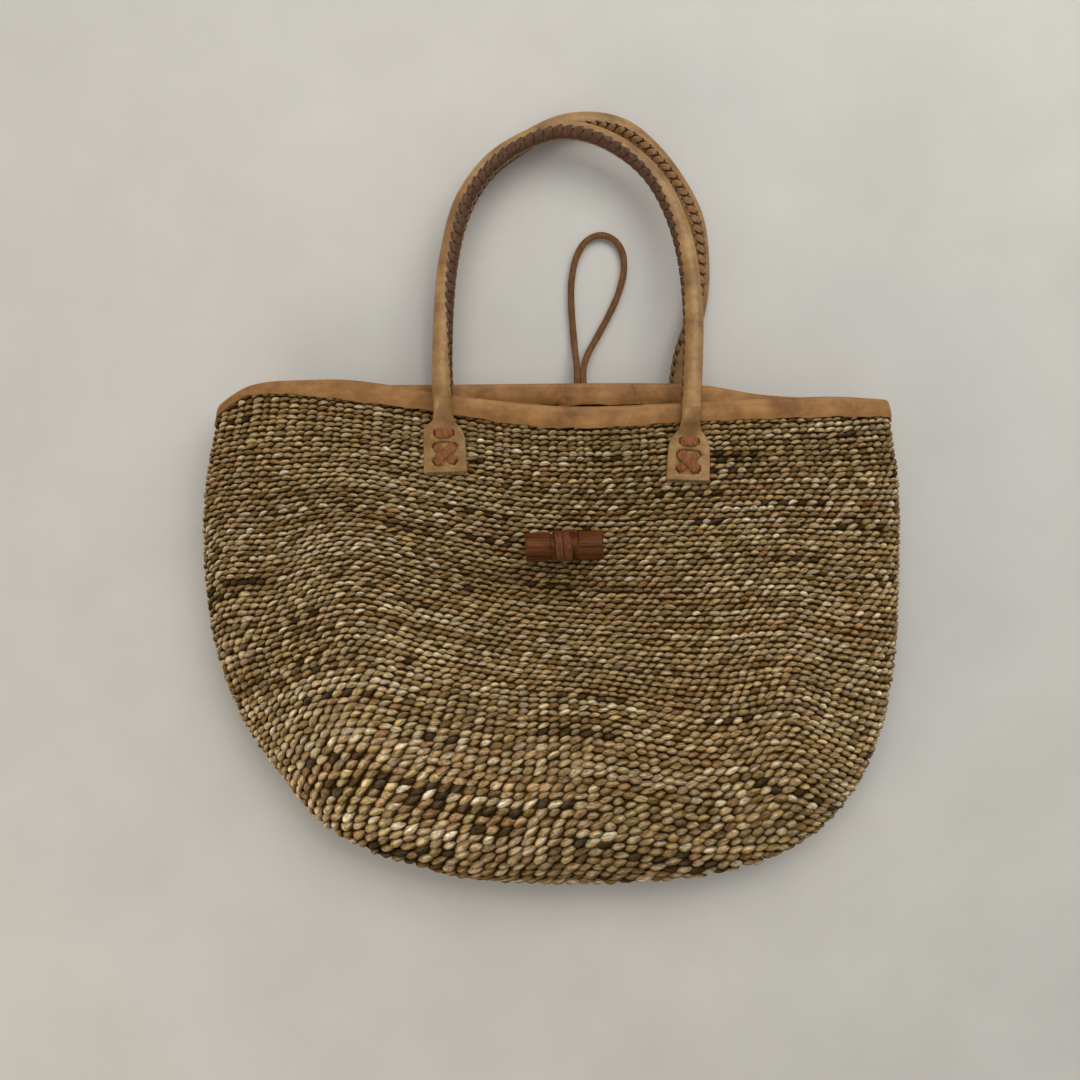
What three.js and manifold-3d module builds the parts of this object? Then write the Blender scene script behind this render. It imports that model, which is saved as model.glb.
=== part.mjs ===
// Raffia tote bag with leather-bound mouth, two laced leather handles, and a toggle and loop closure.
// It lies on its back: +Z is up from the floor, +Y points from the bag's bottom to its handles, and
// the origin is on the flat underside of the back panel. All sizes are in millimetres.

import * as THREE from 'three';
import { mergeVertices } from 'three/addons/utils/BufferGeometryUtils.js';
import Module from 'manifold-3d';

const wasm = await Module();
wasm.setup();

const clearance = 0.3; // gap between neighbouring pieces

// Outline of the flattened body, seen from above
const bodyCentreX = 10; // x of the lowest point of the bottom
const bodyWidestY = 70; // height along the bag at which it is widest
const bodyLowestY = -173; // bottom edge
const bodyRimY = 165; // mouth edge, on average
const leftReach = 250.5; // from the centre line to the left side fold
const leftRoundness = 2.29; // superellipse exponent of the left lower corner
const leftTopInset = 12.5; // how far the left fold leans in at the mouth
const rightReach = 230.5; // from the centre line to the right side fold
const rightRoundness = 2.9; // superellipse exponent of the right lower corner
const rightTopInset = 9.5; // how far the right fold leans in at the mouth

// Thickness of the body as it lies
const wallThickness = 4.5; // woven fibre
const mouthBackZ = 16; // underside of the back panel at the mouth, lifted by the handle beneath it
const backLiftStart = 90; // the back panel lies flat on the floor up to this far below the mouth
const backLiftEnd = 5; // and is fully lifted from here
const mouthDepth = 22.8; // outer face to outer face at the mouth
const bellyTopZ = 54; // highest part of the front panel
const bellyAboveBottom = 88; // where that is
const bottomFoldZ = 22; // height of the fold line at the bottom edge
const flatShare = 0.7; // share of the back panel's half-width that touches the floor
const mouthFoldSharpness = 30; // how tight the side folds are at the mouth
const sideFoldSharpness = 14; // and where the body is widest
const bottomFoldSharpness = 6.5; // and at the bottom edge
const mouthDroop = 0.22; // how much nearer the panels come to each other beside the folds
const creaseDepth = 5; // soft dip above the rolled bottom edge
const creaseWidth = 17;
const creaseLowX = -20; // the dip's lowest point
const creaseAboveBottom = 65;
const creaseHalfLength = 120;
const creaseLeftRise = 38; // how much higher the dip lies at its left end
const creaseRightRise = 12; // and at its right end

// Mouth edge of each panel: [share of the half-width from the centre line, height above bodyRimY]
const frontRim = [[-1, -5], [-0.91, 9], [-0.77, 12.8], [-0.62, 12.4], [-0.33, 2.4], [0, -5],
  [0.34, -2.8], [0.8, 0.6], [1, -2]];
const backRim = [[-1, -5], [-0.91, 7], [-0.77, 10], [-0.34, 11], [0.22, 12], [0.45, 10.4],
  [0.62, 4.4], [0.8, 0.6], [1, -2]];

// Leather binding folded over the mouth edge
const bindingLeather = 1.8;
const bindingHeight = 15; // from its top to its lower edges
const bindingHeadroom = 0.6; // between the mouth edge and the fold of the leather
const bindingBend = 2.6; // outer radius of the folded leather

// Handles
const handleRadius = 6.5; // outside of the leather cover
const handleLeather = 1.6;
const handleRestHeight = 172; // above its hinges, where the front handle comes down onto the back one
const handleSwingMax = 140; // degrees, from lying flat towards the front panel
const handleFall = 1.15; // above 1, the handles sink later on their way to the top of the arch
const frontReach = 197.5; // from the hinges to the middle of the arch
const backReach = 198;
const coverLip = 0.4; // width of the leather's rounded end beside the core

// Middle line of each arch: [share of the way from left to right hinge, share of the reach]
const frontArch = [[-0.005, 0.131], [-0.004, 0.237], [0.002, 0.412], [0.035, 0.608], [0.076, 0.731],
  [0.185, 0.868], [0.328, 0.951], [0.468, 0.993], [0.624, 0.978], [0.756, 0.922], [0.864, 0.841],
  [0.94, 0.726], [0.988, 0.593], [1.01, 0.45], [1.015, 0.309], [1.005, 0.14]];
const backArch = [[-0.009, 0.09], [-0.012, 0.191], [-0.003, 0.342], [0.012, 0.476], [0.061, 0.654],
  [0.163, 0.804], [0.312, 0.901], [0.488, 0.976], [0.63, 0.99], [0.773, 0.962], [0.883, 0.888],
  [0.987, 0.778], [1.067, 0.661], [1.097, 0.503], [1.087, 0.34], [1.046, 0.227], [1.02, 0.155],
  [1.008, 0.069]];

// Where the laced seam runs: [share of the handle's length, degrees round the tube], where 0 degrees
// faces the middle of the arch and 90 degrees faces up
const frontSeam = [[0, 30], [0.2, 52], [0.35, 25], [0.6, 10], [1, -30]];
const backSeam = [[0, 0], [0.4, 30], [0.6, 70], [0.85, 80], [1, 30]];
const lacingPitch = 14; // one full zigzag of the lacing
const lacingHalfAngle = 24; // degrees that it reaches to each side of the seam
const lacingWidth = 2.2;
const lacingThickness = 1.2;
const lacingRoom = 1; // between the lacing and the tube, whose straight facets bulge into it
const lacingStart = 38; // from each end of the handle

// Tabs, the flat ends of the handle leathers
const tabWidth = 29.6;
const tabHeight = 35;
const tabStraight = 24; // straight part of its sides
const tabNeckWidth = 15;
const tabTaper = 0.8; // how much each side leans in along its straight part
const tabShoulder = 1.5; // cut corner where the paddle meets its neck
const tabShoulderDrop = 5; // height of the round above the straight sides
const tabNeckFoot = 1.4; // radius of the neck where it grows out of the paddle
const tabThickness = 3;
const tabCornerRadius = 2;
const tabNeckGap = 7; // from the tab's top edge to the handle's hinge line
const tabDrop = 52.4; // from the mouth edge to the tab's lower edge
const leftTabX = -72.6; // middle of the front left tab's lower edge
const leftTabTurn = 2.2; // degrees, counter-clockwise seen from above
const rightTabX = 91.4;
const rightTabTurn = -2;
const backLeftTabX = -76;
const backRightTabX = 88;

// Thong stitches on the tabs
const thongWidth = 5;
const thongThickness = 1.7;
const barSpan = 9.6; // between the two holes of the bar stitch
const barY = 27; // above the tab's lower edge
const crossSpanX = 13.4; // between the holes of the cross stitch
const crossSpanY = 11.6;
const crossY = 14;
const crossLift = 0.6; // share of the thong's thickness by which the upper strand stands higher
const strandSlack = 1.2; // between the weave and the strands inside it

// Toggle
const toggleX = 7.4;
const toggleBelowRim = 92.8; // from the mouth edge to its middle
const toggleTurn = 2; // degrees, right end towards the mouth
const pegLength = 52;
const pegRadius = 10;
const pegWaistRadius = 8.6;
const pegWaistLength = 18;
const pegEndRound = 1.6;
const pegShoulder = 0.8; // slope at each end of the waist
const pegStandoff = 12; // from the weave to the peg's middle line
const wrapTurns = 2.2;
const wrapWidth = 5.2;
const wrapThickness = 1.8;
const wrapCrown = 0.5; // how much lower the thong's edges lie than its middle
const tieWidth = 5;
const tieThickness = 3.6;
const knotRadius = 6;
const knotFlatness = 0.55; // height of a knot as a share of its width

// Closure loop
const loopThongWidth = 4.2;
const loopThongHeight = 3.2;
const loopX = 19.5; // where it comes out from under the back rim
const loopHoleBelowRim = 26; // from the mouth edge to the hole that the thong comes through
const loopLength = 106; // beyond the mouth edge
const loopWidth = 38; // at its widest
const loopLanding = 0.33; // share of its length in which it comes down to the floor
const tailX = 4.7; // the knotted thong's short end, inside the mouth
const tailBelowRim = 13;
const tailWidth = 4.6;
const tailHeight = 2.4;

// The open loop: [share of its width from the exit, share of its length]
const loopPath = [[-0.06, 0.1], [-0.097, 0.25], [-0.135, 0.4], [-0.164, 0.56], [-0.154, 0.7],
  [-0.064, 0.85], [0.126, 0.955], [0.386, 0.99], [0.626, 0.96], [0.776, 0.885], [0.816, 0.77],
  [0.726, 0.62], [0.546, 0.47], [0.306, 0.31], [0.13, 0.19], [0.06, 0.1]];

// Fineness of the meshes
const panelSteps = 10; // from the centre line to a side fold
const foldCrowding = 2.3; // above 1, these steps lie closer together near the fold
const upperSteps = 6; // from the mouth to the widest level
const cornerSteps = 10; // round each lower corner
const handleSteps = 33; // along a handle
const handleSides = 12; // round its cover
const coreSides = 6;
const loopSteps = 38; // along the closure loop
const wrapSides = 16; // for each turn of the wraps
const roundSides = 12; // of pegs, knots and necks
const throughCut = 30; // length of a cutter that goes through a wall
const wellBeyond = 60; // length of a cutter that clears a handle's swing

const leather = new THREE.MeshStandardMaterial({ color: '#b07a48', roughness: 0.62, metalness: 0 });
const rimLeather = new THREE.MeshStandardMaterial({ color: '#a9743f', roughness: 0.6, metalness: 0 });
const thong = new THREE.MeshStandardMaterial({ color: '#7d4a25', roughness: 0.7, metalness: 0 });
const darkThong = new THREE.MeshStandardMaterial({ color: '#5d3b22', roughness: 0.75, metalness: 0 });
const raffia = new THREE.MeshStandardMaterial({ color: '#8f7448', roughness: 0.9, metalness: 0 });
const rope = new THREE.MeshStandardMaterial({ color: '#b9a27c', roughness: 0.95, metalness: 0 });
const wood = new THREE.MeshStandardMaterial({ color: '#6a3f20', roughness: 0.5, metalness: 0 });

const bag = new THREE.Group();
bag.name = 'raffia_tote_bag';

function addPiece(name, geometry, material) {
  const mesh = new THREE.Mesh(geometry, material);
  mesh.name = name;
  bag.add(mesh);
  return mesh;
}

// General helpers

const clamp = THREE.MathUtils.clamp;
const radians = THREE.MathUtils.degToRad;

function smoothStep(t) {
  const s = clamp(t, 0, 1);
  return s * s * (3 - 2 * s);
}

// Smooth curve through points of rising x, read at x
function curveAt(points, x) {
  let i = 0;
  while (i < points.length - 2 && x > points[i + 1][0]) i += 1;
  const [x0, y0] = points[i];
  const [x1, y1] = points[i + 1];
  const slope = (a, b) => (points[b][1] - points[a][1]) / (points[b][0] - points[a][0]);
  const before = slope(Math.max(0, i - 1), i + 1);
  const after = slope(i, Math.min(points.length - 1, i + 2));
  const h = x1 - x0;
  const s = clamp((x - x0) / h, 0, 1);
  const s2 = s * s;
  const s3 = s2 * s;
  return (2 * s3 - 3 * s2 + 1) * y0 + (s3 - 2 * s2 + s) * h * before
    + (3 * s2 - 2 * s3) * y1 + (s3 - s2) * h * after;
}

// A closed geometry from loose triangles: equal corners become one, and its faces point out
function closedGeometry(triangles) {
  const loose = new THREE.BufferGeometry();
  loose.setAttribute('position', new THREE.Float32BufferAttribute(triangles.flat(2), 3));
  const merged = mergeVertices(loose, 1e-3);
  const { array } = merged.index;
  const kept = [];
  for (let i = 0; i < array.length; i += 3) {
    const [a, b, c] = array.slice(i, i + 3);
    if (a !== b && b !== c && c !== a) kept.push(a, b, c);
  }
  const p = merged.attributes.position;
  const corner = (i) => new THREE.Vector3().fromBufferAttribute(p, i);
  let volume = 0;
  for (let i = 0; i < kept.length; i += 3) {
    volume += corner(kept[i]).dot(corner(kept[i + 1]).cross(corner(kept[i + 2])));
  }
  if (volume < 0) kept.reverse();
  merged.setIndex(kept);
  merged.computeVertexNormals();
  return merged;
}

const xyz = (v) => [v.x, v.y, v.z];

// Two triangles for each cell between neighbouring rows of points
function cells(rows, { closeRows = false, closeColumns = false } = {}) {
  const triangles = [];
  const last = closeRows ? rows.length : rows.length - 1;
  for (let i = 0; i < last; i += 1) {
    const row = rows[i];
    const next = rows[(i + 1) % rows.length];
    const lastColumn = closeColumns ? row.length : row.length - 1;
    for (let j = 0; j < lastColumn; j += 1) {
      const k = (j + 1) % row.length;
      triangles.push([xyz(row[j]), xyz(row[k]), xyz(next[k])]);
      triangles.push([xyz(row[j]), xyz(next[k]), xyz(next[j])]);
    }
  }
  return triangles;
}

// A flat cap over one ring of points, fanned from its middle
function cap(ring, turned) {
  const middle = ring.reduce((sum, p) => sum.add(p), new THREE.Vector3()).divideScalar(ring.length);
  return ring.map((p, i) => {
    const q = ring[(i + 1) % ring.length];
    return turned ? [xyz(q), xyz(p), xyz(middle)] : [xyz(p), xyz(q), xyz(middle)];
  });
}

// A solid whose skin runs over rings of points, capped at both ends
function ringSolid(rings) {
  const side = cells(rings, { closeColumns: true });
  return closedGeometry([...side, ...cap(rings[0], true), ...cap(rings.at(-1), false)]);
}

// A body of revolution about Y from a profile of [radius, height] that starts and ends on the axis
function turned(profile, sides) {
  const points = profile.map(([radius, height]) => new THREE.Vector2(radius, height));
  const loose = new THREE.LatheGeometry(points, sides).toNonIndexed();
  const p = loose.attributes.position;
  const corner = (i) => [p.getX(i), p.getY(i), p.getZ(i)];
  const count = p.count / 3;
  return closedGeometry(Array.from({ length: count }, (_, i) => [3 * i, 3 * i + 1, 3 * i + 2].map(corner)));
}

function toSolid(geometry) {
  const plain = geometry.clone();
  plain.deleteAttribute('normal');
  plain.deleteAttribute('uv');
  const merged = mergeVertices(plain, 1e-3);
  return new wasm.Manifold(new wasm.Mesh({
    numProp: 3,
    vertProperties: Float32Array.from(merged.attributes.position.array),
    triVerts: Uint32Array.from(merged.index.array),
  }));
}

function toGeometry(solid) {
  const mesh = solid.getMesh();
  const geometry = new THREE.BufferGeometry();
  geometry.setAttribute('position', new THREE.Float32BufferAttribute(mesh.vertProperties, 3));
  geometry.setIndex([...mesh.triVerts]);
  geometry.computeVertexNormals();
  return geometry;
}

// Woven body. Its panels are two surfaces over the same outline, which meet along the fold.

const sideOf = (sign) => (sign < 0
  ? { reach: leftReach, roundness: leftRoundness, topInset: leftTopInset }
  : { reach: rightReach, roundness: rightRoundness, topInset: rightTopInset });

function halfWidth(y, sign) {
  const { reach, topInset } = sideOf(sign);
  const up = Math.max(0, (y - bodyWidestY) / (bodyRimY - bodyWidestY));
  return reach - topInset * up * up;
}

const mouthFoldZ = mouthBackZ + mouthDepth / 2;

function foldZ(y) {
  return THREE.MathUtils.mapLinear(y, bodyLowestY, bodyRimY, bottomFoldZ, mouthFoldZ);
}

function foldSharpness(y) {
  if (y > bodyWidestY) {
    const up = Math.min(1, (y - bodyWidestY) / (bodyRimY - bodyWidestY));
    return sideFoldSharpness + (mouthFoldSharpness - sideFoldSharpness) * up;
  }
  const down = clamp((bodyWidestY - y) / (bodyWidestY - bodyLowestY), 0, 1);
  return sideFoldSharpness + (bottomFoldSharpness - sideFoldSharpness) * down;
}

function creaseAt(x, y) {
  const along = (x - creaseLowX) / creaseHalfLength;
  const lift = (along < 0 ? creaseLeftRise : creaseRightRise) * along * along;
  const across = (y - bodyLowestY - creaseAboveBottom - lift) / creaseWidth;
  return creaseDepth * Math.exp(-across * across - along * along);
}

// How far a panel stands from the fold's level before it turns into the fold
function panelRise(x, y, face) {
  if (face === 'front') {
    const toBelly = smoothStep((bodyRimY - y) / (bodyRimY - bodyLowestY - bellyAboveBottom));
    const top = THREE.MathUtils.lerp(mouthBackZ + mouthDepth, bellyTopZ, toBelly);
    return top - foldZ(y) - creaseAt(x, y);
  }
  const lifted = mouthBackZ * smoothStep((y - bodyRimY + backLiftStart) / (backLiftStart - backLiftEnd));
  return foldZ(y) - lifted;
}

// A point of a panel, or of the surface that lies offset outside it. outward runs from 0 on the
// centre line to 1 on the fold.
function panelPoint(x, y, outward, face, offset) {
  let share = outward;
  if (face === 'back') share = Math.max(0, (outward - flatShare) / (1 - flatShare));
  const droop = face === 'front' ? mouthDroop * share * share : 0;
  let sharpness = foldSharpness(y);
  if (face === 'back') sharpness = THREE.MathUtils.lerp(sharpness, 2, flatShare);
  const level = Math.sqrt(Math.max(0, 1 - share ** sharpness));
  const rise = (panelRise(x, y, face) + offset) * (1 - droop) * level;
  return new THREE.Vector3(x, y, foldZ(y) + (face === 'front' ? rise : -rise));
}

// How far out towards the fold a point of the plan lies, from 0 to 1
function outwardAt(x, y, offset = 0) {
  const sign = x < bodyCentreX ? -1 : 1;
  const dx = Math.abs(x - bodyCentreX);
  if (y >= bodyWidestY) return dx / (halfWidth(y, sign) + offset);
  const { reach, roundness: n } = sideOf(sign);
  const dy = bodyWidestY - y;
  const depth = bodyWidestY - bodyLowestY + offset;
  return ((dx / (reach + offset)) ** n + (dy / depth) ** n) ** (1 / n);
}

function surfaceAt(x, y, face, offset = 0) {
  return panelPoint(x, y, outwardAt(x, y, offset), face, offset);
}

function normalAt(x, y, face) {
  const step = 1;
  const alongX = surfaceAt(x + step, y, face).sub(surfaceAt(x - step, y, face));
  const alongY = surfaceAt(x, y + step, face).sub(surfaceAt(x, y - step, face));
  const normal = alongX.cross(alongY).normalize();
  return face === 'front' ? normal : normal.negate();
}

const rimAt = (signed, face) => bodyRimY + curveAt(face === 'front' ? frontRim : backRim, signed);

// y of the mouth edge over a place on the panel
function rimOver(x, face) {
  const sign = x < bodyCentreX ? -1 : 1;
  return rimAt((x - bodyCentreX) / halfWidth(bodyRimY, sign), face);
}

// The steps across a panel, closer together where it turns into the fold
const panelShares = Array.from(
  { length: panelSteps + 1 },
  (_, j) => 1 - (1 - j / panelSteps) ** foldCrowding,
);

// One cut through the body from its front centre line over the fold to its back centre line.
// up is 1 at the mouth and 0 at the widest level; turn, below that level, is 0 at the side and
// 90 degrees at the lowest point.
function bodyCut(sign, up, turn, offset) {
  const place = (share, face) => {
    if (turn === null) {
      const y = bodyWidestY + up * (rimAt(sign * share, face) - bodyWidestY);
      const x = bodyCentreX + sign * share * (halfWidth(y, sign) + offset);
      return panelPoint(x, y, share, face, offset);
    }
    const { reach, roundness } = sideOf(sign);
    const across = (reach + offset) * Math.cos(turn) ** (2 / roundness);
    const down = (bodyWidestY - bodyLowestY + offset) * Math.sin(turn) ** (2 / roundness);
    const x = bodyCentreX + sign * share * across;
    return panelPoint(x, bodyWidestY - share * down, share, face, offset);
  };
  const front = panelShares.map((share) => place(share, 'front'));
  const back = panelShares.map((share) => place(share, 'back')).reverse().slice(1);
  return [...front, ...back];
}

// All cuts, from the mouth at the right side round the bottom to the mouth at the left side
function bodyCuts(offset) {
  const half = (sign) => {
    const ups = Array.from({ length: upperSteps }, (_, i) => 1 - i / upperSteps);
    const turns = Array.from({ length: cornerSteps }, (_, i) => (Math.PI / 2) * (i / cornerSteps));
    const upper = ups.map((up) => bodyCut(sign, up, null, offset));
    return [...upper, ...turns.map((turn) => bodyCut(sign, 0, turn, offset))];
  };
  const bottom = bodyCut(1, 0, Math.PI / 2, offset);
  return [...half(1), bottom, ...half(-1).reverse()];
}

function wovenShell() {
  const outer = bodyCuts(0);
  const inner = bodyCuts(-wallThickness);
  const mouth = [outer[0], inner[0]];
  const otherMouth = [inner.at(-1), outer.at(-1)];
  const inside = cells(inner).map(([a, b, c]) => [c, b, a]);
  const lip = [...cells(mouth), ...cells(otherMouth)].map(([a, b, c]) => [c, b, a]);
  return closedGeometry([...cells(outer), ...inside, ...lip]);
}

// Frame of a flat piece that lies on a panel: its origin is on the panel's outer side at the piece's
// foot, y runs to the mouth, and z out of the panel. It clears the panel all over its length.
function seatFrame(x, y, face, turn, width, height) {
  const up = new THREE.Vector3(0, 1, 0).applyAxisAngle(new THREE.Vector3(0, 0, 1), radians(turn));
  const middle = [x + (up.x * height) / 2, y + (up.y * height) / 2];
  const zAxis = normalAt(...middle, face);
  const yAxis = up.clone().addScaledVector(zAxis, -up.dot(zAxis)).normalize();
  const xAxis = new THREE.Vector3().crossVectors(yAxis, zAxis);
  const onPanel = surfaceAt(...middle, face);
  const foot = onPanel.clone().addScaledVector(yAxis, -height / 2);
  let highest = 0;
  for (const across of [-0.5, 0, 0.5]) {
    for (let along = 0; along <= 1; along += 0.125) {
      const p = foot.clone();
      p.addScaledVector(xAxis, across * width);
      p.addScaledVector(yAxis, along * height);
      const lift = surfaceAt(p.x, p.y, face).sub(onPanel).dot(zAxis);
      highest = Math.max(highest, lift);
    }
  }
  foot.addScaledVector(zAxis, highest + clearance / 3);
  return new THREE.Matrix4().makeBasis(xAxis, yAxis, zAxis).setPosition(foot);
}

const tabs = [
  { name: 'front_left', face: 'front', x: leftTabX, turn: leftTabTurn },
  { name: 'front_right', face: 'front', x: rightTabX, turn: rightTabTurn },
  { name: 'back_left', face: 'back', x: backLeftTabX, turn: 0 },
  { name: 'back_right', face: 'back', x: backRightTabX, turn: 0 },
];
for (const tab of tabs) {
  const y = rimOver(tab.x, tab.face) - tabDrop;
  tab.frame = seatFrame(tab.x, y, tab.face, tab.turn, tabWidth, tabHeight);
}

// Hinge point of a handle end, past the tab's neck and clear of the binding
function hingePoint(tab) {
  const p = new THREE.Vector3(0, tabHeight + tabNeckGap, 0).applyMatrix4(tab.frame);
  const lift = handleRadius + clearance;
  const binding = clearance + bindingLeather;
  if (tab.face === 'back') return new THREE.Vector3(p.x, p.y, lift);
  const panelZ = surfaceAt(p.x, p.y + handleRadius, 'front').z;
  return new THREE.Vector3(p.x, p.y, panelZ + binding + clearance + lift);
}
for (const tab of tabs) tab.hinge = hingePoint(tab);

// Thong stitches: each strand is a flat link that runs over the tab, down through two holes, and back
// along the inside of the weave

const overTab = clearance + tabThickness; // from the panel to the tab's outer face
const strandOut = overTab + clearance; // underside of the strand that shows
const strandIn = -(wallThickness + clearance); // the hidden strand's nearer side
const holeSlack = 2 * clearance;

function linkShape(span, outerZ) {
  const out = span / 2 + thongThickness;
  const top = outerZ + thongThickness;
  const low = strandIn - thongThickness - strandSlack;
  const round = thongThickness;
  const shape = new THREE.Shape();
  shape.moveTo(-out, low);
  shape.lineTo(out, low);
  shape.lineTo(out, top - round);
  shape.lineTo(out - round, top);
  shape.lineTo(round - out, top);
  shape.lineTo(-out, top - round);
  shape.closePath();
  const hole = new THREE.Path();
  hole.moveTo(-span / 2, low + thongThickness);
  hole.lineTo(-span / 2, outerZ);
  hole.lineTo(span / 2, outerZ);
  hole.lineTo(span / 2, low + thongThickness);
  hole.closePath();
  shape.holes.push(hole);
  return shape;
}

// A link across the tab at x, y, turned about the tab's normal
function link(span, x, y, turn, outerZ) {
  const shape = linkShape(span, outerZ);
  const geometry = new THREE.ExtrudeGeometry(shape, { depth: thongWidth, bevelEnabled: false });
  geometry.translate(0, 0, -thongWidth / 2);
  geometry.rotateX(Math.PI / 2);
  geometry.rotateZ(turn);
  geometry.translate(x, y, 0);
  return geometry;
}

const crossAngle = Math.atan2(crossSpanY, crossSpanX);
const crossLength = Math.hypot(crossSpanX, crossSpanY) - thongThickness;

// The two holes of a link, as cutters in the tab's frame
function linkHoles(frame, span, x, y, turn) {
  return [-1, 1].map((end) => {
    const box = new THREE.BoxGeometry(thongThickness + holeSlack, thongWidth + holeSlack, throughCut);
    box.translate(end * ((span + thongThickness) / 2), 0, 0);
    box.rotateZ(turn);
    box.translate(x, y, 0);
    box.applyMatrix4(frame);
    return toSolid(box);
  });
}

function stitchHoles(frame) {
  return [
    ...linkHoles(frame, barSpan, 0, barY, 0),
    ...linkHoles(frame, crossLength, 0, crossY, crossAngle),
    ...linkHoles(frame, crossLength, 0, crossY, -crossAngle),
  ];
}

function addStitches(tab) {
  const flipped = tab.name.endsWith('right') ? -1 : 1; // which diagonal lies on top
  const bar = link(barSpan, 0, barY, 0, strandOut);
  bar.applyMatrix4(tab.frame);
  addPiece(`bar_stitch_${tab.name}`, bar, thong);
  const under = link(crossLength, 0, crossY, -flipped * crossAngle, strandOut);
  const higher = strandOut + thongThickness * crossLift;
  const over = link(crossLength, 0, crossY, flipped * crossAngle, higher);
  const cross = toGeometry(toSolid(under).add(toSolid(over)));
  cross.applyMatrix4(tab.frame);
  addPiece(`cross_stitch_${tab.name}`, cross, thong);
}

// A tab: a paddle with holes, and a neck that rises towards the handle and clears its swing

function paddleShape() {
  const half = tabWidth / 2;
  const neck = tabNeckWidth / 2;
  const shape = new THREE.Shape();
  shape.moveTo(tabCornerRadius - half, 0);
  shape.lineTo(half - tabCornerRadius, 0);
  shape.quadraticCurveTo(half, 0, half, tabCornerRadius);
  const side = half - tabTaper;
  const shoulderX = neck + tabShoulder;
  const shoulderY = tabHeight - tabShoulder;
  shape.lineTo(side, tabStraight);
  shape.quadraticCurveTo(side, tabHeight - tabShoulderDrop, shoulderX, shoulderY);
  shape.lineTo(neck, tabHeight);
  shape.lineTo(-neck, tabHeight);
  shape.lineTo(-shoulderX, shoulderY);
  shape.quadraticCurveTo(-side, tabHeight - tabShoulderDrop, -side, tabStraight);
  shape.lineTo(-half, tabCornerRadius);
  shape.quadraticCurveTo(-half, 0, tabCornerRadius - half, 0);
  return shape;
}

// A cone from one point to another
function between(start, end, startRadius, endRadius) {
  const along = end.clone().sub(start);
  const geometry = new THREE.CylinderGeometry(endRadius, startRadius, along.length(), roundSides);
  const upright = new THREE.Vector3(0, 1, 0);
  const turn = new THREE.Quaternion().setFromUnitVectors(upright, along.clone().normalize());
  geometry.applyQuaternion(turn);
  const middle = start.clone().add(end).multiplyScalar(0.5);
  geometry.translate(middle.x, middle.y, middle.z);
  return geometry;
}

const swingSign = { front: 1, back: -1 }; // positive turns a handle over the front panel

function tabSolid(tab) {
  const extrusion = { depth: tabThickness, bevelEnabled: false, curveSegments: 4 };
  const paddle = new THREE.ExtrudeGeometry(paddleShape(), extrusion);
  paddle.translate(0, 0, clearance);
  paddle.applyMatrix4(tab.frame);
  const inset = tabNeckFoot + clearance / 2;
  const neckFoot = new THREE.Vector3(0, barY + thongWidth / 2 + inset, overTab - inset);
  neckFoot.applyMatrix4(tab.frame);
  const neck = between(neckFoot, tab.hinge, tabNeckFoot, handleRadius);
  const keepOut = handleRadius + 2 * clearance;
  const ball = new THREE.SphereGeometry(keepOut, roundSides, 9).translate(...xyz(tab.hinge));
  const farthest = new THREE.Vector3(0, 1, 0).applyAxisAngle(
    new THREE.Vector3(1, 0, 0),
    radians(swingSign[tab.face] * handleSwingMax),
  );
  const swung = tab.hinge.clone().addScaledVector(farthest, wellBeyond);
  const path = between(tab.hinge, swung, keepOut, keepOut);
  const beyond = new THREE.Vector3(tab.hinge.x, tab.hinge.y + wellBeyond, tab.hinge.z);
  const rest = between(tab.hinge, beyond, keepOut, keepOut);
  const abovePanel = new THREE.BoxGeometry(3 * tabWidth, 4 * tabHeight, wellBeyond);
  abovePanel.translate(0, 0, clearance + wellBeyond / 2);
  abovePanel.applyMatrix4(tab.frame);
  let solid = toSolid(paddle).add(toSolid(neck).intersect(toSolid(abovePanel)));
  for (const cutter of [ball, path, rest]) solid = solid.subtract(toSolid(cutter));
  for (const hole of stitchHoles(tab.frame)) solid = solid.subtract(hole);
  return solid;
}

// Handles: a curve from one hinge point over the arch to the other

function handleCurve(left, right, arch, reach, restZ) {
  const points = arch.map(([across, up]) => {
    const p = left.hinge.clone().lerp(right.hinge, across);
    const overBinding = bindingHeight + handleRadius;
    const fall = clamp((up * reach - overBinding) / (handleRestHeight - overBinding), 0, 1);
    p.y += up * reach;
    p.z = restZ + (p.z - restZ) * (1 - fall) ** handleFall;
    return p;
  });
  return new THREE.CatmullRomCurve3([left.hinge, ...points, right.hinge], false, 'centripetal');
}

// A place on a curve with a frame that doesn't twist: side lies in the plan, towards the middle of
// the arch, and up is square to it
function stationAt(curve, share) {
  const along = curve.getTangentAt(share);
  const side = new THREE.Vector3(0, 0, 1).cross(along).normalize().negate();
  const up = new THREE.Vector3().crossVectors(along, side).negate().normalize();
  return { at: curve.getPointAt(share), along, side, up };
}

const stations = (curve, count) => Array.from({ length: count + 1 }, (_, i) => stationAt(curve, i / count));

const moved = (station, distance) => ({
  ...station,
  at: station.at.clone().addScaledVector(station.along, distance),
});

const outFrom = ({ side, up }, angle) => side.clone().multiplyScalar(Math.cos(angle))
  .addScaledVector(up, Math.sin(angle));

function ringAt(station, radius, sides) {
  return Array.from({ length: sides }, (_, k) => {
    const out = outFrom(station, (2 * Math.PI * k) / sides);
    return station.at.clone().addScaledVector(out, radius);
  });
}

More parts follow.
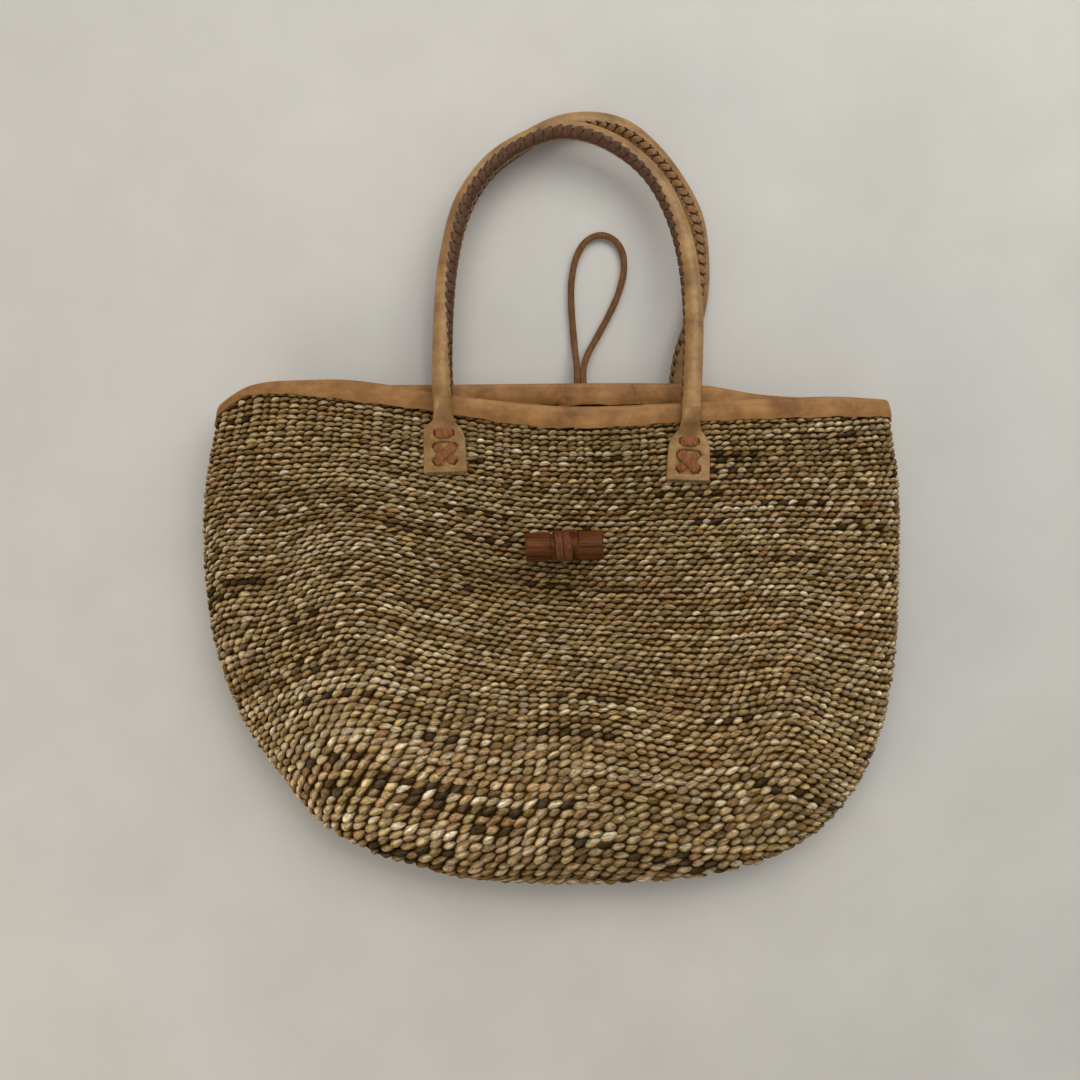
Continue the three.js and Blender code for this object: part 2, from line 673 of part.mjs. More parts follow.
// The cover: a leather tube with rounded ends, open where the core ends
function coverSolid(curve) {
  const bore = handleRadius - handleLeather;
  const mouth = bore + coverLip;
  const roundEnd = Math.sqrt(handleRadius ** 2 - mouth ** 2);
  const list = stations(curve, handleSteps);
  const first = moved(list[0], -roundEnd);
  const last = moved(list.at(-1), roundEnd);
  const outside = list.map((station) => ringAt(station, handleRadius, handleSides));
  const outer = [ringAt(first, mouth, handleSides), ...outside, ringAt(last, mouth, handleSides)];
  const inner = [first, ...list, last].map((station) => ringAt(station, bore, handleSides));
  return closedGeometry(cells([...outer, ...inner.reverse()], { closeRows: true, closeColumns: true }));
}

function coreSolid(curve) {
  const radius = handleRadius - handleLeather - clearance; // to the core's corners
  return ringSolid(stations(curve, handleSteps).map((station) => ringAt(station, radius, coreSides)));
}

// The middle of the thong, which runs from side to side over the seam
function lacingPath(curve, seam) {
  const length = curve.getLength();
  const first = lacingStart / length;
  const quarter = lacingPitch / 4 / length;
  const count = Math.floor((1 - 2 * first) / quarter);
  const radius = handleRadius + lacingRoom + lacingThickness / 2;
  const swing = [0, 1, 0, -1];
  return Array.from({ length: count + 1 }, (_, i) => {
    const share = first + i * quarter;
    const station = stationAt(curve, share);
    const out = outFrom(station, radians(curveAt(seam, share) + lacingHalfAngle * swing[i % 4]));
    return { at: station.at.addScaledVector(out, radius), out };
  });
}

function lacingSolid(curve, seam) {
  const path = lacingPath(curve, seam);
  const rings = path.map(({ at, out }, i) => {
    const before = path[Math.max(0, i - 1)].at;
    const after = path[Math.min(path.length - 1, i + 1)].at;
    const along = after.clone().sub(before).normalize();
    const across = new THREE.Vector3().crossVectors(along, out).normalize();
    const corner = (a, b) => at.clone().addScaledVector(across, (a * lacingWidth) / 2)
      .addScaledVector(out, (b * lacingThickness) / 2);
    return [corner(-1, -1), corner(1, -1), corner(0.6, 1), corner(-0.6, 1)];
  });
  return ringSolid(rings);
}

function addHandle({ name, left, right, arch, reach, restZ, seam }) {
  const curve = handleCurve(left, right, arch, reach, restZ);
  addPiece(`${name}_handle_cover`, coverSolid(curve), leather);
  addPiece(`${name}_handle_core`, coreSolid(curve), rope);
  addPiece(`${name}_handle_lacing`, lacingSolid(curve, seam), darkThong);
}

// Binding: a U-shaped strip over the whole mouth edge

function bindingSolid() {
  const out = clearance + bindingLeather;
  const far = -(wallThickness + out);
  const low = out - bindingHeight;
  const bend = [0, Math.PI / 4, Math.PI / 2].map((angle) => [
    bindingBend * (1 - Math.cos(angle)),
    out - bindingBend * (1 - Math.sin(angle)),
  ]);
  // [offset from the body's outer surface, height from the mouth edge]
  const profile = [
    [out, low],
    ...bend.map(([inset, height]) => [out - inset, height]),
    ...bend.map(([inset, height]) => [far + inset, height]).reverse(),
    [far, low],
    [far + bindingLeather, low],
    [far + bindingLeather, bindingHeadroom],
    [clearance, bindingHeadroom],
    [clearance, low],
  ];
  const ring = (signed, face) => profile.map(([offset, height]) => {
    const sign = signed < 0 ? -1 : 1;
    const y = rimAt(signed, face) + height;
    const share = Math.abs(signed);
    const x = bodyCentreX + sign * share * (halfWidth(y, sign) + offset);
    return panelPoint(x, y, share, face, offset);
  });
  const right = panelShares;
  const left = panelShares.slice(1).map((share) => -share);
  const front = [...left.slice().reverse(), ...right];
  const back = front.slice(1, -1).reverse();
  const rings = [...front.map((s) => ring(s, 'front')), ...back.map((s) => ring(s, 'back'))];
  return closedGeometry(cells(rings, { closeRows: true, closeColumns: true }));
}

// Toggle: peg, wraps and tie, all in a frame whose z runs out of the front panel and x along the peg

const toggleY = rimOver(toggleX, 'front') - toggleBelowRim;
const toggleFrame = (() => {
  const zAxis = normalAt(toggleX, toggleY, 'front');
  const lean = new THREE.Vector3(1, 0, 0).applyAxisAngle(new THREE.Vector3(0, 0, 1), radians(toggleTurn));
  const yAxis = new THREE.Vector3().crossVectors(zAxis, lean).normalize();
  const xAxis = new THREE.Vector3().crossVectors(yAxis, zAxis);
  const foot = surfaceAt(toggleX, toggleY, 'front');
  return new THREE.Matrix4().makeBasis(xAxis, yAxis, zAxis).setPosition(foot);
})();

function pegSolid() {
  const end = pegLength / 2;
  const waist = pegWaistLength / 2;
  const half = [[pegWaistRadius, waist], [pegRadius, waist + pegShoulder], [pegRadius, end - pegEndRound],
    [pegRadius - pegEndRound, end], [0, end]];
  const profile = [...half.map(([radius, height]) => [radius, -height]).reverse(), ...half];
  const peg = turned(profile, roundSides);
  peg.rotateZ(-Math.PI / 2);
  peg.translate(0, 0, pegStandoff);
  return peg.applyMatrix4(toggleFrame);
}

const wrapPitch = (pegWaistLength - 2 * clearance - wrapWidth) / wrapTurns;

function wrapSolid() {
  const steps = Math.round(wrapSides * wrapTurns);
  const step = (2 * Math.PI) / wrapSides;
  const inner = (pegWaistRadius + clearance) / Math.cos(step / 2);
  const outer = inner + wrapThickness;
  const half = Math.min(wrapWidth, wrapPitch - clearance) / 2;
  const rings = Array.from({ length: steps + 1 }, (_, i) => {
    const angle = step * i;
    const middle = (i / steps - 0.5) * wrapTurns * wrapPitch;
    const corner = (radius, x) => new THREE.Vector3(
      middle + x,
      radius * Math.sin(angle),
      pegStandoff - radius * Math.cos(angle),
    );
    return [corner(inner, -half), corner(inner, half), corner(outer - wrapCrown, half), corner(outer, 0),
      corner(outer - wrapCrown, -half)];
  });
  return ringSolid(rings).applyMatrix4(toggleFrame);
}

// The tie comes through the weave under the wraps and ends in a knot inside the bag
const tieTop = pegStandoff - pegWaistRadius - wrapThickness - 2 * clearance;

// A knot as a flattened ball; narrowness is its depth as a share of its width
function flatKnot(narrowness) {
  const knot = new THREE.SphereGeometry(knotRadius, roundSides, 6);
  return knot.scale(1, narrowness, knotFlatness);
}

function tieSolid() {
  const inside = -(wallThickness + clearance);
  const stem = new THREE.BoxGeometry(tieWidth, tieThickness, tieTop - inside + 2);
  stem.translate(0, 0, (tieTop + inside - 2) / 2);
  const knot = flatKnot(0.85);
  knot.translate(0, 0, inside - knotRadius * knotFlatness);
  return toGeometry(toSolid(stem).add(toSolid(knot))).applyMatrix4(toggleFrame);
}

// Closure loop: a doubled thong from a knot inside, out through the back panel, under the rim, and then
// the open loop

const rimTopY = rimOver(loopX, 'back') + clearance + bindingLeather;
const loopHoleY = rimTopY - loopHoleBelowRim;
const doubled = 2 * loopThongWidth + 2 * clearance;

// The loop bends round the bound edge of the back panel, about the edge's middle
const halfBoundEdge = wallThickness / 2 + clearance + bindingLeather;
const bendRadius = halfBoundEdge + 2 * clearance + loopThongHeight / 2;
const loopPivot = new THREE.Vector3(loopX, rimTopY - halfBoundEdge, mouthBackZ + wallThickness / 2);

// Middle of the thong from its hole to the rim, where it runs under the binding
function underBack(y) {
  const atHole = surfaceAt(loopX, loopHoleY, 'back').z - loopThongHeight / 2 - clearance;
  const underBinding = loopPivot.z - bendRadius;
  const bindingEdgeY = rimTopY - bindingHeight - loopThongHeight;
  const sunk = smoothStep((y - loopHoleY) / (bindingEdgeY - loopHoleY));
  return THREE.MathUtils.lerp(atHole, underBinding, sunk);
}

// A flat band along points, whose width lies level
function bandRings(points, width, height) {
  return points.map((at, i) => {
    const before = points[Math.max(0, i - 1)];
    const after = points[Math.min(points.length - 1, i + 1)];
    const along = after.clone().sub(before).normalize();
    const across = new THREE.Vector3(0, 0, 1).cross(along).normalize();
    const up = new THREE.Vector3().crossVectors(along, across).normalize();
    const corner = (a, b) => at.clone().addScaledVector(across, (a * width) / 2)
      .addScaledVector(up, (b * height) / 2);
    return [corner(-1, -0.5), corner(-0.7, -1), corner(0.7, -1), corner(1, -0.5), corner(1, 0.5),
      corner(0.7, 1), corner(-0.7, 1), corner(-1, 0.5)];
  });
}

function loopRootSolid() {
  const startY = loopHoleY - loopThongHeight / 2;
  const endY = loopPivot.y - clearance;
  const ys = [0, 0.15, 0.25, 0.35, 0.6, 1].map((s) => startY + s * (endY - startY));
  const points = ys.map((y) => new THREE.Vector3(loopX, y, underBack(y)));
  const strap = bandRings(points, doubled, loopThongHeight);
  const panelZ = surfaceAt(loopX, loopHoleY, 'back').z;
  const insideZ = panelZ + wallThickness + clearance;
  const outsideZ = underBack(loopHoleY);
  const topZ = insideZ + knotRadius * knotFlatness;
  const stem = new THREE.BoxGeometry(doubled, loopThongHeight, topZ - outsideZ);
  stem.translate(loopX, loopHoleY, (topZ + outsideZ) / 2);
  return toGeometry(toSolid(ringSolid(strap)).add(toSolid(stem)).add(knotAndTail(insideZ)));
}

// The knot inside, with its short tail lying on the binding's inner side
function knotAndTail(insideZ) {
  const knotZ = insideZ + knotRadius * knotFlatness;
  const knot = flatKnot(0.75);
  knot.translate(loopX, loopHoleY, knotZ);
  const tailY = rimOver(tailX, 'back') - tailBelowRim;
  const innerSide = wallThickness + 2 * clearance + bindingLeather;
  const tailZ = surfaceAt(tailX, tailY, 'back').z + innerSide + tailHeight / 2;
  const start = new THREE.Vector3(loopX - knotRadius / 3, loopHoleY, knotZ + 1);
  const middle = new THREE.Vector3((loopX + tailX) / 2, (loopHoleY + tailY) / 2 + 3, tailZ);
  const end = new THREE.Vector3(tailX, tailY, tailZ);
  const tail = ringSolid(bandRings([start, middle, end], tailWidth, tailHeight));
  return toSolid(knot).add(toSolid(tail));
}

function loopSolid() {
  const strand = (loopThongWidth + clearance) / 2;
  const floorZ = loopThongHeight / 2 + clearance;
  const startZ = loopPivot.z - bendRadius;
  const landing = loopLanding * loopLength;
  const level = (up) => floorZ + (startZ - floorZ) * (1 - smoothStep(up / landing));
  const at = (dx, up) => new THREE.Vector3(loopX + dx, rimTopY + up, level(up));
  const start = -halfBoundEdge + clearance;
  const plan = loopPath.map(([dx, up]) => at(dx * loopWidth, up * loopLength));
  const curve = new THREE.CatmullRomCurve3([
    at(-strand, start),
    at(-strand, 0.4 * clearance),
    ...plan,
    at(strand, 0.4 * clearance),
    at(strand, start),
  ], false, 'centripetal');
  const points = curve.getSpacedPoints(loopSteps);
  for (const p of points) p.z = level(p.y - rimTopY);
  return ringSolid(bandRings(points, loopThongWidth, loopThongHeight));
}

// Assembly

function addBody() {
  let body = toSolid(wovenShell());
  for (const tab of tabs) {
    for (const hole of stitchHoles(tab.frame)) body = body.subtract(hole);
  }
  const tieHole = new THREE.BoxGeometry(tieWidth + holeSlack, tieThickness + holeSlack, throughCut);
  tieHole.applyMatrix4(toggleFrame);
  const loopHole = new THREE.BoxGeometry(doubled + holeSlack, loopThongHeight + holeSlack, throughCut);
  loopHole.translate(loopX, loopHoleY, surfaceAt(loopX, loopHoleY, 'back').z);
  body = body.subtract(toSolid(tieHole)).subtract(toSolid(loopHole));
  addPiece('woven_body', toGeometry(body), raffia);
}

addBody();
addPiece('rim_binding', bindingSolid(), rimLeather);
for (const tab of tabs) {
  addPiece(`handle_tab_${tab.name}`, toGeometry(tabSolid(tab)), leather);
  addStitches(tab);
}
const restOnFloor = handleRadius + clearance;
const restOnHandle = 3 * handleRadius + 2 * clearance + lacingRoom + lacingThickness;
addHandle({
  name: 'front',
  left: tabs[0],
  right: tabs[1],
  arch: frontArch,
  reach: frontReach,
  restZ: restOnHandle,
  seam: frontSeam,
});
addHandle({
  name: 'back',
  left: tabs[2],
  right: tabs[3],
  arch: backArch,
  reach: backReach,
  restZ: restOnFloor,
  seam: backSeam,
});
addPiece('toggle_peg', pegSolid(), wood);
addPiece('toggle_wrap', wrapSolid(), thong);
addPiece('toggle_tie', tieSolid(), thong);
addPiece('closure_loop_root', loopRootSolid(), thong);
addPiece('closure_loop', loopSolid(), thong);

export default bag;
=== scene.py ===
import math

import bpy
import numpy as np
from mathutils import Matrix, Vector
from mathutils.kdtree import KDTree


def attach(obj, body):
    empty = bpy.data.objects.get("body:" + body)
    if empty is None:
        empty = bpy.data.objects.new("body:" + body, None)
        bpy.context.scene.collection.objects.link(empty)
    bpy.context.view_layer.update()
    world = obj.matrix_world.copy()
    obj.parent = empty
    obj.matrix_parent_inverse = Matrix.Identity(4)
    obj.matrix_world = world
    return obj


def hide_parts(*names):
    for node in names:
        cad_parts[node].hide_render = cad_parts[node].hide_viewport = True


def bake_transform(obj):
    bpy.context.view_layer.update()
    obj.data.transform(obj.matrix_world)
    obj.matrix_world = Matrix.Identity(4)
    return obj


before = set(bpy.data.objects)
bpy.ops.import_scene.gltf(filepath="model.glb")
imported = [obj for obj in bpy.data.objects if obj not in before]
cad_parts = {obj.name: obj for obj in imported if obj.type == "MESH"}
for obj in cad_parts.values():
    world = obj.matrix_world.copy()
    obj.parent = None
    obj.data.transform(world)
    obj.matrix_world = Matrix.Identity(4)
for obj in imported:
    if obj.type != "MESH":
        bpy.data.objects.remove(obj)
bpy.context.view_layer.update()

# The bag lies on its back: +Z up, +Y from its bottom to its handles. Sizes are in millimetres and
# degrees until a mesh is made, and those of the part are repeated from its source. The outline is up
# to 7 mm fuller than the part's at its bottom corners.

draw = np.random.default_rng(11)
scene = bpy.context.scene
clearance = 0.3

# Camera

camera_data = bpy.data.cameras.new("camera")
camera_data.lens = 38.095
camera_data.sensor_width = 36
camera = bpy.data.objects.new("camera", camera_data)
scene.collection.objects.link(camera)
camera_place = Vector((-8.75, 118.8, 818.5))
camera_target = Vector((-8.75, 70, 20))
camera.location = camera_place / 1000
back = (camera_place - camera_target).normalized()
right = Vector((0, 1, 0)).cross(back).normalized()
camera.rotation_euler = Matrix((right, back.cross(right), back)).transposed().to_euler()
scene.camera = camera

# Outline and surface of the flattened body

body_centre_x = 10
body_widest_y = 70
body_lowest_y = -173
body_rim_y = 165
side_sizes = {-1: (252, 2.3, 15), 1: (230.5, 3.25, 11.5)}  # reach, roundness, inset at the mouth
low_left_fullness = 0.24  # more roundness towards the bottom of the left side
fullness_end = 0.62  # of the half-width
fullness_fade = 0.2
wall_thickness = 4.5
mouth_back_z = 16
back_lift_start = 90
back_lift_end = 5
mouth_depth = 22.8
belly_top_z = 54
belly_above_bottom = 88
bottom_fold_z = 22
flat_share = 0.7
mouth_fold_sharpness = 30
side_fold_sharpness = 14
bottom_fold_sharpness = 6.5
mouth_droop = 0.22
crease_depth = 5
crease_width = 17
crease_low_x = -20
crease_above_bottom = 65
crease_half_length = 120
crease_left_rise = 38
crease_right_rise = 12
front_rim = [(-1, -3), (-0.92, 9.5), (-0.77, 12.8), (-0.62, 12.4), (-0.33, 2.4), (0, -5),
    (0.34, -2.8), (0.8, 1.6), (1, 0)]
back_rim = [(-1, -3), (-0.92, 7.5), (-0.77, 10), (-0.34, 11), (0.22, 12), (0.45, 10.4),
    (0.62, 4.4), (0.8, 1.6), (1, 0)]


def smooth_step(t):
    t = np.clip(t, 0, 1)
    return t * t * (3 - 2 * t)


def curve_at(points, x):
    """Smooth curve through points of rising x, read at x."""
    px, py = np.asarray(points, float).T
    last = len(px) - 1
    low = np.maximum(np.arange(last + 1) - 1, 0)
    high = np.minimum(np.arange(last + 1) + 1, last)
    slope = (py[high] - py[low]) / (px[high] - px[low])
    x = np.clip(x, px[0], px[-1])
    i = np.clip(np.searchsorted(px, x) - 1, 0, last - 1)
    h = px[i + 1] - px[i]
    s = (x - px[i]) / h
    start = (1 + 2 * s) * (1 - s) ** 2 * py[i] + s * (1 - s) ** 2 * h * slope[i]
    end = s * s * (3 - 2 * s) * py[i + 1] + s * s * (s - 1) * h * slope[i + 1]
    return start + end


def by_side(x, which):
    """One of the two sides' sizes, for each x."""
    return np.where(np.asarray(x) < body_centre_x, side_sizes[-1][which], side_sizes[1][which])


def roundness(x):
    across = np.abs(x - body_centre_x) / by_side(x, 0)
    fuller = low_left_fullness * (1 - smooth_step((across - fullness_end) / fullness_fade))
    return by_side(x, 1) + np.where(np.asarray(x) < body_centre_x, fuller, 0)


def half_width(x, y):
    up = np.maximum(0, (y - body_widest_y) / (body_rim_y - body_widest_y))
    return by_side(x, 0) - by_side(x, 2) * up**2


def fold_z(y):
    share = (y - body_lowest_y) / (body_rim_y - body_lowest_y)
    return bottom_fold_z + (mouth_back_z + mouth_depth / 2 - bottom_fold_z) * share


def fold_sharpness(y):
    up = np.clip((y - body_widest_y) / (body_rim_y - body_widest_y), 0, 1)
    down = np.clip((body_widest_y - y) / (body_widest_y - body_lowest_y), 0, 1)
    more = (mouth_fold_sharpness - side_fold_sharpness) * up
    return side_fold_sharpness + more + (bottom_fold_sharpness - side_fold_sharpness) * down


def crease_at(x, y):
    along = (x - crease_low_x) / crease_half_length
    lift = np.where(along < 0, crease_left_rise, crease_right_rise) * along**2
    across = (y - body_lowest_y - crease_above_bottom - lift) / crease_width
    return crease_depth * np.exp(-across**2 - along**2)


def panel_rise(x, y, face):
    if face == "front":
        span = body_rim_y - body_lowest_y - belly_above_bottom
        to_belly = smooth_step((body_rim_y - y) / span)
        top = mouth_back_z + mouth_depth
        return top + (belly_top_z - top) * to_belly - fold_z(y) - crease_at(x, y)
    near_mouth = (y - body_rim_y + back_lift_start) / (back_lift_start - back_lift_end)
    return fold_z(y) - mouth_back_z * smooth_step(near_mouth)


def panel_point(x, y, outward, face, offset=0):
    """Points of a panel; outward runs from 0 on the centre line to 1 on the side fold."""
    share = outward if face == "front" else np.maximum(0, (outward - flat_share) / (1 - flat_share))
    droop = mouth_droop * share**2 if face == "front" else 0
    sharpness = fold_sharpness(y)
    if face == "back":
        sharpness = sharpness * (1 - flat_share) + 2 * flat_share
    level = np.sqrt(np.maximum(0, 1 - share**sharpness))
    rise = (panel_rise(x, y, face) + offset) * (1 - droop) * level
    z = fold_z(y) + rise * (1 if face == "front" else -1)
    return np.stack(np.broadcast_arrays(x, y, z), -1).astype(float)


def outward_at(x, y, offset=0):
    dx = np.abs(x - body_centre_x)
    reach = by_side(x, 0) + offset
    n = roundness(x)
    dy = np.maximum(0, body_widest_y - y) / (body_widest_y - body_lowest_y + offset)
    low = ((dx / reach) ** n + dy**n) ** (1 / n)
    return np.where(y >= body_widest_y, dx / (half_width(x, y) + offset), low)


def surface_at(x, y, face, offset=0):
    return panel_point(x, y, np.minimum(outward_at(x, y, offset), 1), face, offset)


def normal_at(x, y, face):
    along_x = surface_at(x + 1, y, face) - surface_at(x - 1, y, face)
    along_y = surface_at(x, y + 1, face) - surface_at(x, y - 1, face)
    normal = np.cross(along_x, along_y)
    return normal / np.linalg.norm(normal) * (1 if face == "front" else -1)


def rim_at(signed, face):
    return body_rim_y + curve_at(front_rim if face == "front" else back_rim, signed)


def rim_over(x, face):
    """y of the mouth edge over a place on the panel."""
    return rim_at((x - body_centre_x) / half_width(x, body_rim_y), face)


# Meshes

upwards = np.array((0, 0, 1.0))


def unit(vectors):
    return vectors / np.maximum(np.linalg.norm(vectors, axis=-1, keepdims=True), 1e-9)


def mesh_object(name, points, faces, material, sharp=None, **attributes):
    """A mesh from points in mm and faces, a list of index arrays with one row for each face."""
    faces = [np.asarray(f, np.int32) for f in faces if len(f)]
    mesh = bpy.data.meshes.new(name)
    mesh.vertices.add(len(points))
    mesh.vertices.foreach_set("co", (np.asarray(points) / 1000).astype(np.float32).ravel())
    totals = np.concatenate([np.full(len(f), f.shape[1]) for f in faces])
    mesh.loops.add(int(totals.sum()))
    mesh.loops.foreach_set("vertex_index", np.concatenate([f.ravel() for f in faces]))
    mesh.polygons.add(len(totals))
    mesh.polygons.foreach_set("loop_start", np.cumsum(totals) - totals)
    mesh.polygons.foreach_set("use_smooth", np.ones(len(totals), bool))
    mesh.update(calc_edges=True)
    if sharp is not None:
        mesh.set_sharp_from_angle(angle=math.radians(sharp))
    mesh.materials.append(material)
    for key, values in attributes.items():
        store(mesh, key, values)
    made = bpy.data.objects.new(name, mesh)
    scene.collection.objects.link(made)
    return made


def store(mesh, key, values):
    """Stores a value, a vector or a colour for each point."""
    kinds = {3: ("FLOAT_VECTOR", "vector"), 4: ("FLOAT_COLOR", "color")}
    kind, field = kinds.get(np.shape(values)[-1], ("FLOAT", "value"))
    layer = mesh.attributes.get(key) or mesh.attributes.new(key, kind, "POINT")
    layer.data.foreach_set(field, np.asarray(values, np.float32).ravel())


def keep_rest(made):
    """Keeps each point's place at rest, in mm, so that grain stays put on a bent piece."""
    mesh = made.data
    co = np.zeros(3 * len(mesh.vertices), np.float32)
    mesh.vertices.foreach_get("co", co)
    rest = co.reshape(-1, 3) * 1000
    store(mesh, "rest", rest)
    return rest


def ring_faces(rows, columns, close_rows=False, caps=True):
    """Quads over rows of rings, with a face over each end."""
    i = np.arange(rows if close_rows else rows - 1)[:, None]
    j = np.arange(columns)
    near, far, after = i * columns, (i + 1) % rows * columns, (j + 1) % columns
    faces = [np.stack([near + j, near + after, far + after, far + j], -1).reshape(-1, 4)]
    if caps and not close_rows:
        faces.append(np.stack([j[::-1], (rows - 1) * columns + j]))
    return faces


def loft(name, rings, material, sharp=40, close_rows=False):
    """A skin over rings of points, rows by columns by 3."""
    rows, columns = rings.shape[:2]
    faces = ring_faces(rows, columns, close_rows=close_rows)
    return mesh_object(name, rings.reshape(-1, 3), faces, material, sharp)


def join(name, pieces):
    """One piece from several meshes."""
    with bpy.context.temp_override(active_object=pieces[0], selected_editable_objects=pieces):
        bpy.ops.object.join()
    pieces[0].name = name
    return pieces[0]


def apply_modifier(piece, kind, **settings):
    modifier = piece.modifiers.new(kind, kind)
    for key, value in settings.items():
        setattr(modifier, key, value)
    with bpy.context.temp_override(object=piece, active_object=piece):
        bpy.ops.object.modifier_apply(modifier=modifier.name)


def finish_piece(piece, body, slot, *nodes):
    """Says what a piece rides on and stands for; slot is not used."""
    keep_rest(piece)
    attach(piece, body)
    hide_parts(*nodes)


def distances(points):
    """How far along a line each of its points lies."""
    return np.concatenate([[0], np.cumsum(np.linalg.norm(np.diff(points, axis=0), axis=1))])


def read_line(at, places, values):
    """Rows of values that are known at places, read at others."""
    return np.stack([np.interp(at, places, column) for column in values.T], -1)


def resample(points, count):
    """Evenly spaced points on a line, and its length."""
    places = distances(points)
    return read_line(np.linspace(0, places[-1], count), places, points), places[-1]


def catmull(points, steps=24):
    """Centripetal Catmull-Rom curve through points."""
    p = np.asarray(points, float)
    p = np.vstack([2 * p[0] - p[1], p, 2 * p[-1] - p[-2]])
    t = np.linspace(0, 1, steps, endpoint=False)[:, None]
    line = []
    for a, b, c, d in zip(p, p[1:], p[2:], p[3:]):
        before, here, after = (math.dist(u, v) ** 0.5 for u, v in ((a, b), (b, c), (c, d)))
        out = ((b - a) / before - (c - a) / (before + here) + (c - b) / here) * here
        into = ((c - b) / here - (d - b) / (here + after) + (d - c) / after) * here
        line.append((2 * t**3 - 3 * t**2 + 1) * b + (t**3 - 2 * t**2 + t) * out
            + (3 * t**2 - 2 * t**3) * c + (t**3 - t**2) * into)
    return np.vstack(line + [p[-2][None]])


def tangents(points):
    return unit(np.gradient(points, axis=0))


def signed_power(values, power):
    return np.sign(values) * np.abs(values) ** power


def round_section(sides, power=2.0):
    """Unit outline, from a circle at power 2 to nearly a rectangle."""
    a = np.arange(sides) * 2 * math.pi / sides
    return signed_power(np.cos(a), 2 / power), signed_power(np.sin(a), 2 / power)


def band(name, points, up_hint, width, height, material, sides=14, power=3.4):
    """A thong along points: width lies across the line, height along up_hint."""
    along = tangents(points)
    across = unit(np.cross(along, up_hint))
    up = np.cross(across, along)
    c, s = round_section(sides, power)
    width = np.broadcast_to(width, len(points))[:, None, None]
    height = np.broadcast_to(height, len(points))[:, None, None]
    rings = points[:, None] + across[:, None] * c[None, :, None] * width / 2
    rings = rings + up[:, None] * s[None, :, None] * height / 2
    return loft(name, rings, material)


class Local:
    """A frame on the bag, with its foot and its axes."""

    def at(self, x, y, z):
        x, y, z = (np.asarray(v, float)[..., None] for v in (x, y, z))
        return self.foot + self.x * x + self.y * y + self.z * z


# Materials

strap_pitch = 7  # of the lacing over a handle's seam
strap_slant = 5.4  # along the seam, from one end of a strap to the other
# The next reach is of the shade painted in the hole at each strap's end
hole_shade_reach = 11.0  # degrees round the end of a strap
strand_half = 2.2  # half a fibre's width in its own noise


def linear(r, g, b):
    share = np.array([r, g, b]) / 255
    return tuple(np.where(share <= 0.04045, share / 12.92, ((share + 0.055) / 1.055) ** 2.4)) + (1,)


class Nodes:
    """The nodes of one material, which read each point's place at rest."""

    def __init__(self, name, roughness, specular=0.22):
        self.material = bpy.data.materials.new(name)
        self.material.use_nodes = True
        self.tree = self.material.node_tree
        self.shader = self.tree.nodes["Principled BSDF"]
        self.shader.inputs["Roughness"].default_value = roughness
        self.shader.inputs["Specular IOR Level"].default_value = specular

    def node(self, kind, inputs=(), **settings):
        made = self.tree.nodes.new(kind)
        for key, value in settings.items():
            setattr(made, key, value)
        for key, value in dict(inputs).items():
            if isinstance(value, bpy.types.NodeSocket):
                self.tree.links.new(value, made.inputs[key])
            else:
                made.inputs[key].default_value = value
        return made

    def attribute(self, name, output="Vector"):
        return self.node("ShaderNodeAttribute", attribute_name=name).outputs[output]

    def parts(self, vector):
        return self.node("ShaderNodeSeparateXYZ", {"Vector": vector}).outputs

    def stretched(self, vector, scale):
        return self.node("ShaderNodeMapping", {"Vector": vector, "Scale": scale}).outputs[0]

    def noise(self, vector, scale, detail=3.0, roughness=0.55):
        inputs = {"Vector": vector, "Scale": scale, "Detail": detail, "Roughness": roughness}
        return self.node("ShaderNodeTexNoise", inputs).outputs["Fac"]

    def cells(self, vector, scale):
        return self.node("ShaderNodeTexVoronoi", {"Vector": vector, "Scale": scale}).outputs["Distance"]

    def ramp(self, value, *stops):
        """Colour or grey by value; a stop is a place with 8-bit sRGB or a grey."""
        made = self.node("ShaderNodeValToRGB", {"Fac": value})
        ramp = made.color_ramp
        while len(ramp.elements) < len(stops):
            ramp.elements.new(0.5)
        for element, (place, colour) in zip(ramp.elements, stops):
            element.position = place
            element.color = linear(*colour) if isinstance(colour, tuple) else (colour, colour, colour, 1)
        return made.outputs["Color"]

    def mix(self, share, a, b, blend="MIX"):
        inputs = {0: share, 6: a, 7: b}
        return self.node("ShaderNodeMix", inputs, data_type="RGBA", blend_type=blend).outputs[2]

    def times(self, a, b):
        return self.mix(1.0, a, b, "MULTIPLY")

    def math(self, operation, a, b=0.0):
        return self.node("ShaderNodeMath", {0: a, 1: b}, operation=operation).outputs[0]

    def bump(self, height, distance, normal=None, strength=1.0):
        inputs = {"Height": height, "Distance": distance / 1000, "Strength": strength}
        if normal is not None:
            inputs["Normal"] = normal
        return self.node("ShaderNodeBump", inputs).outputs[0]

    def finish(self, colour, normal=None, roughness=None):
        for name, socket in (("Base Color", colour), ("Normal", normal), ("Roughness", roughness)):
            if socket is not None:
                self.tree.links.new(socket, self.shader.inputs[name])
        return self.material


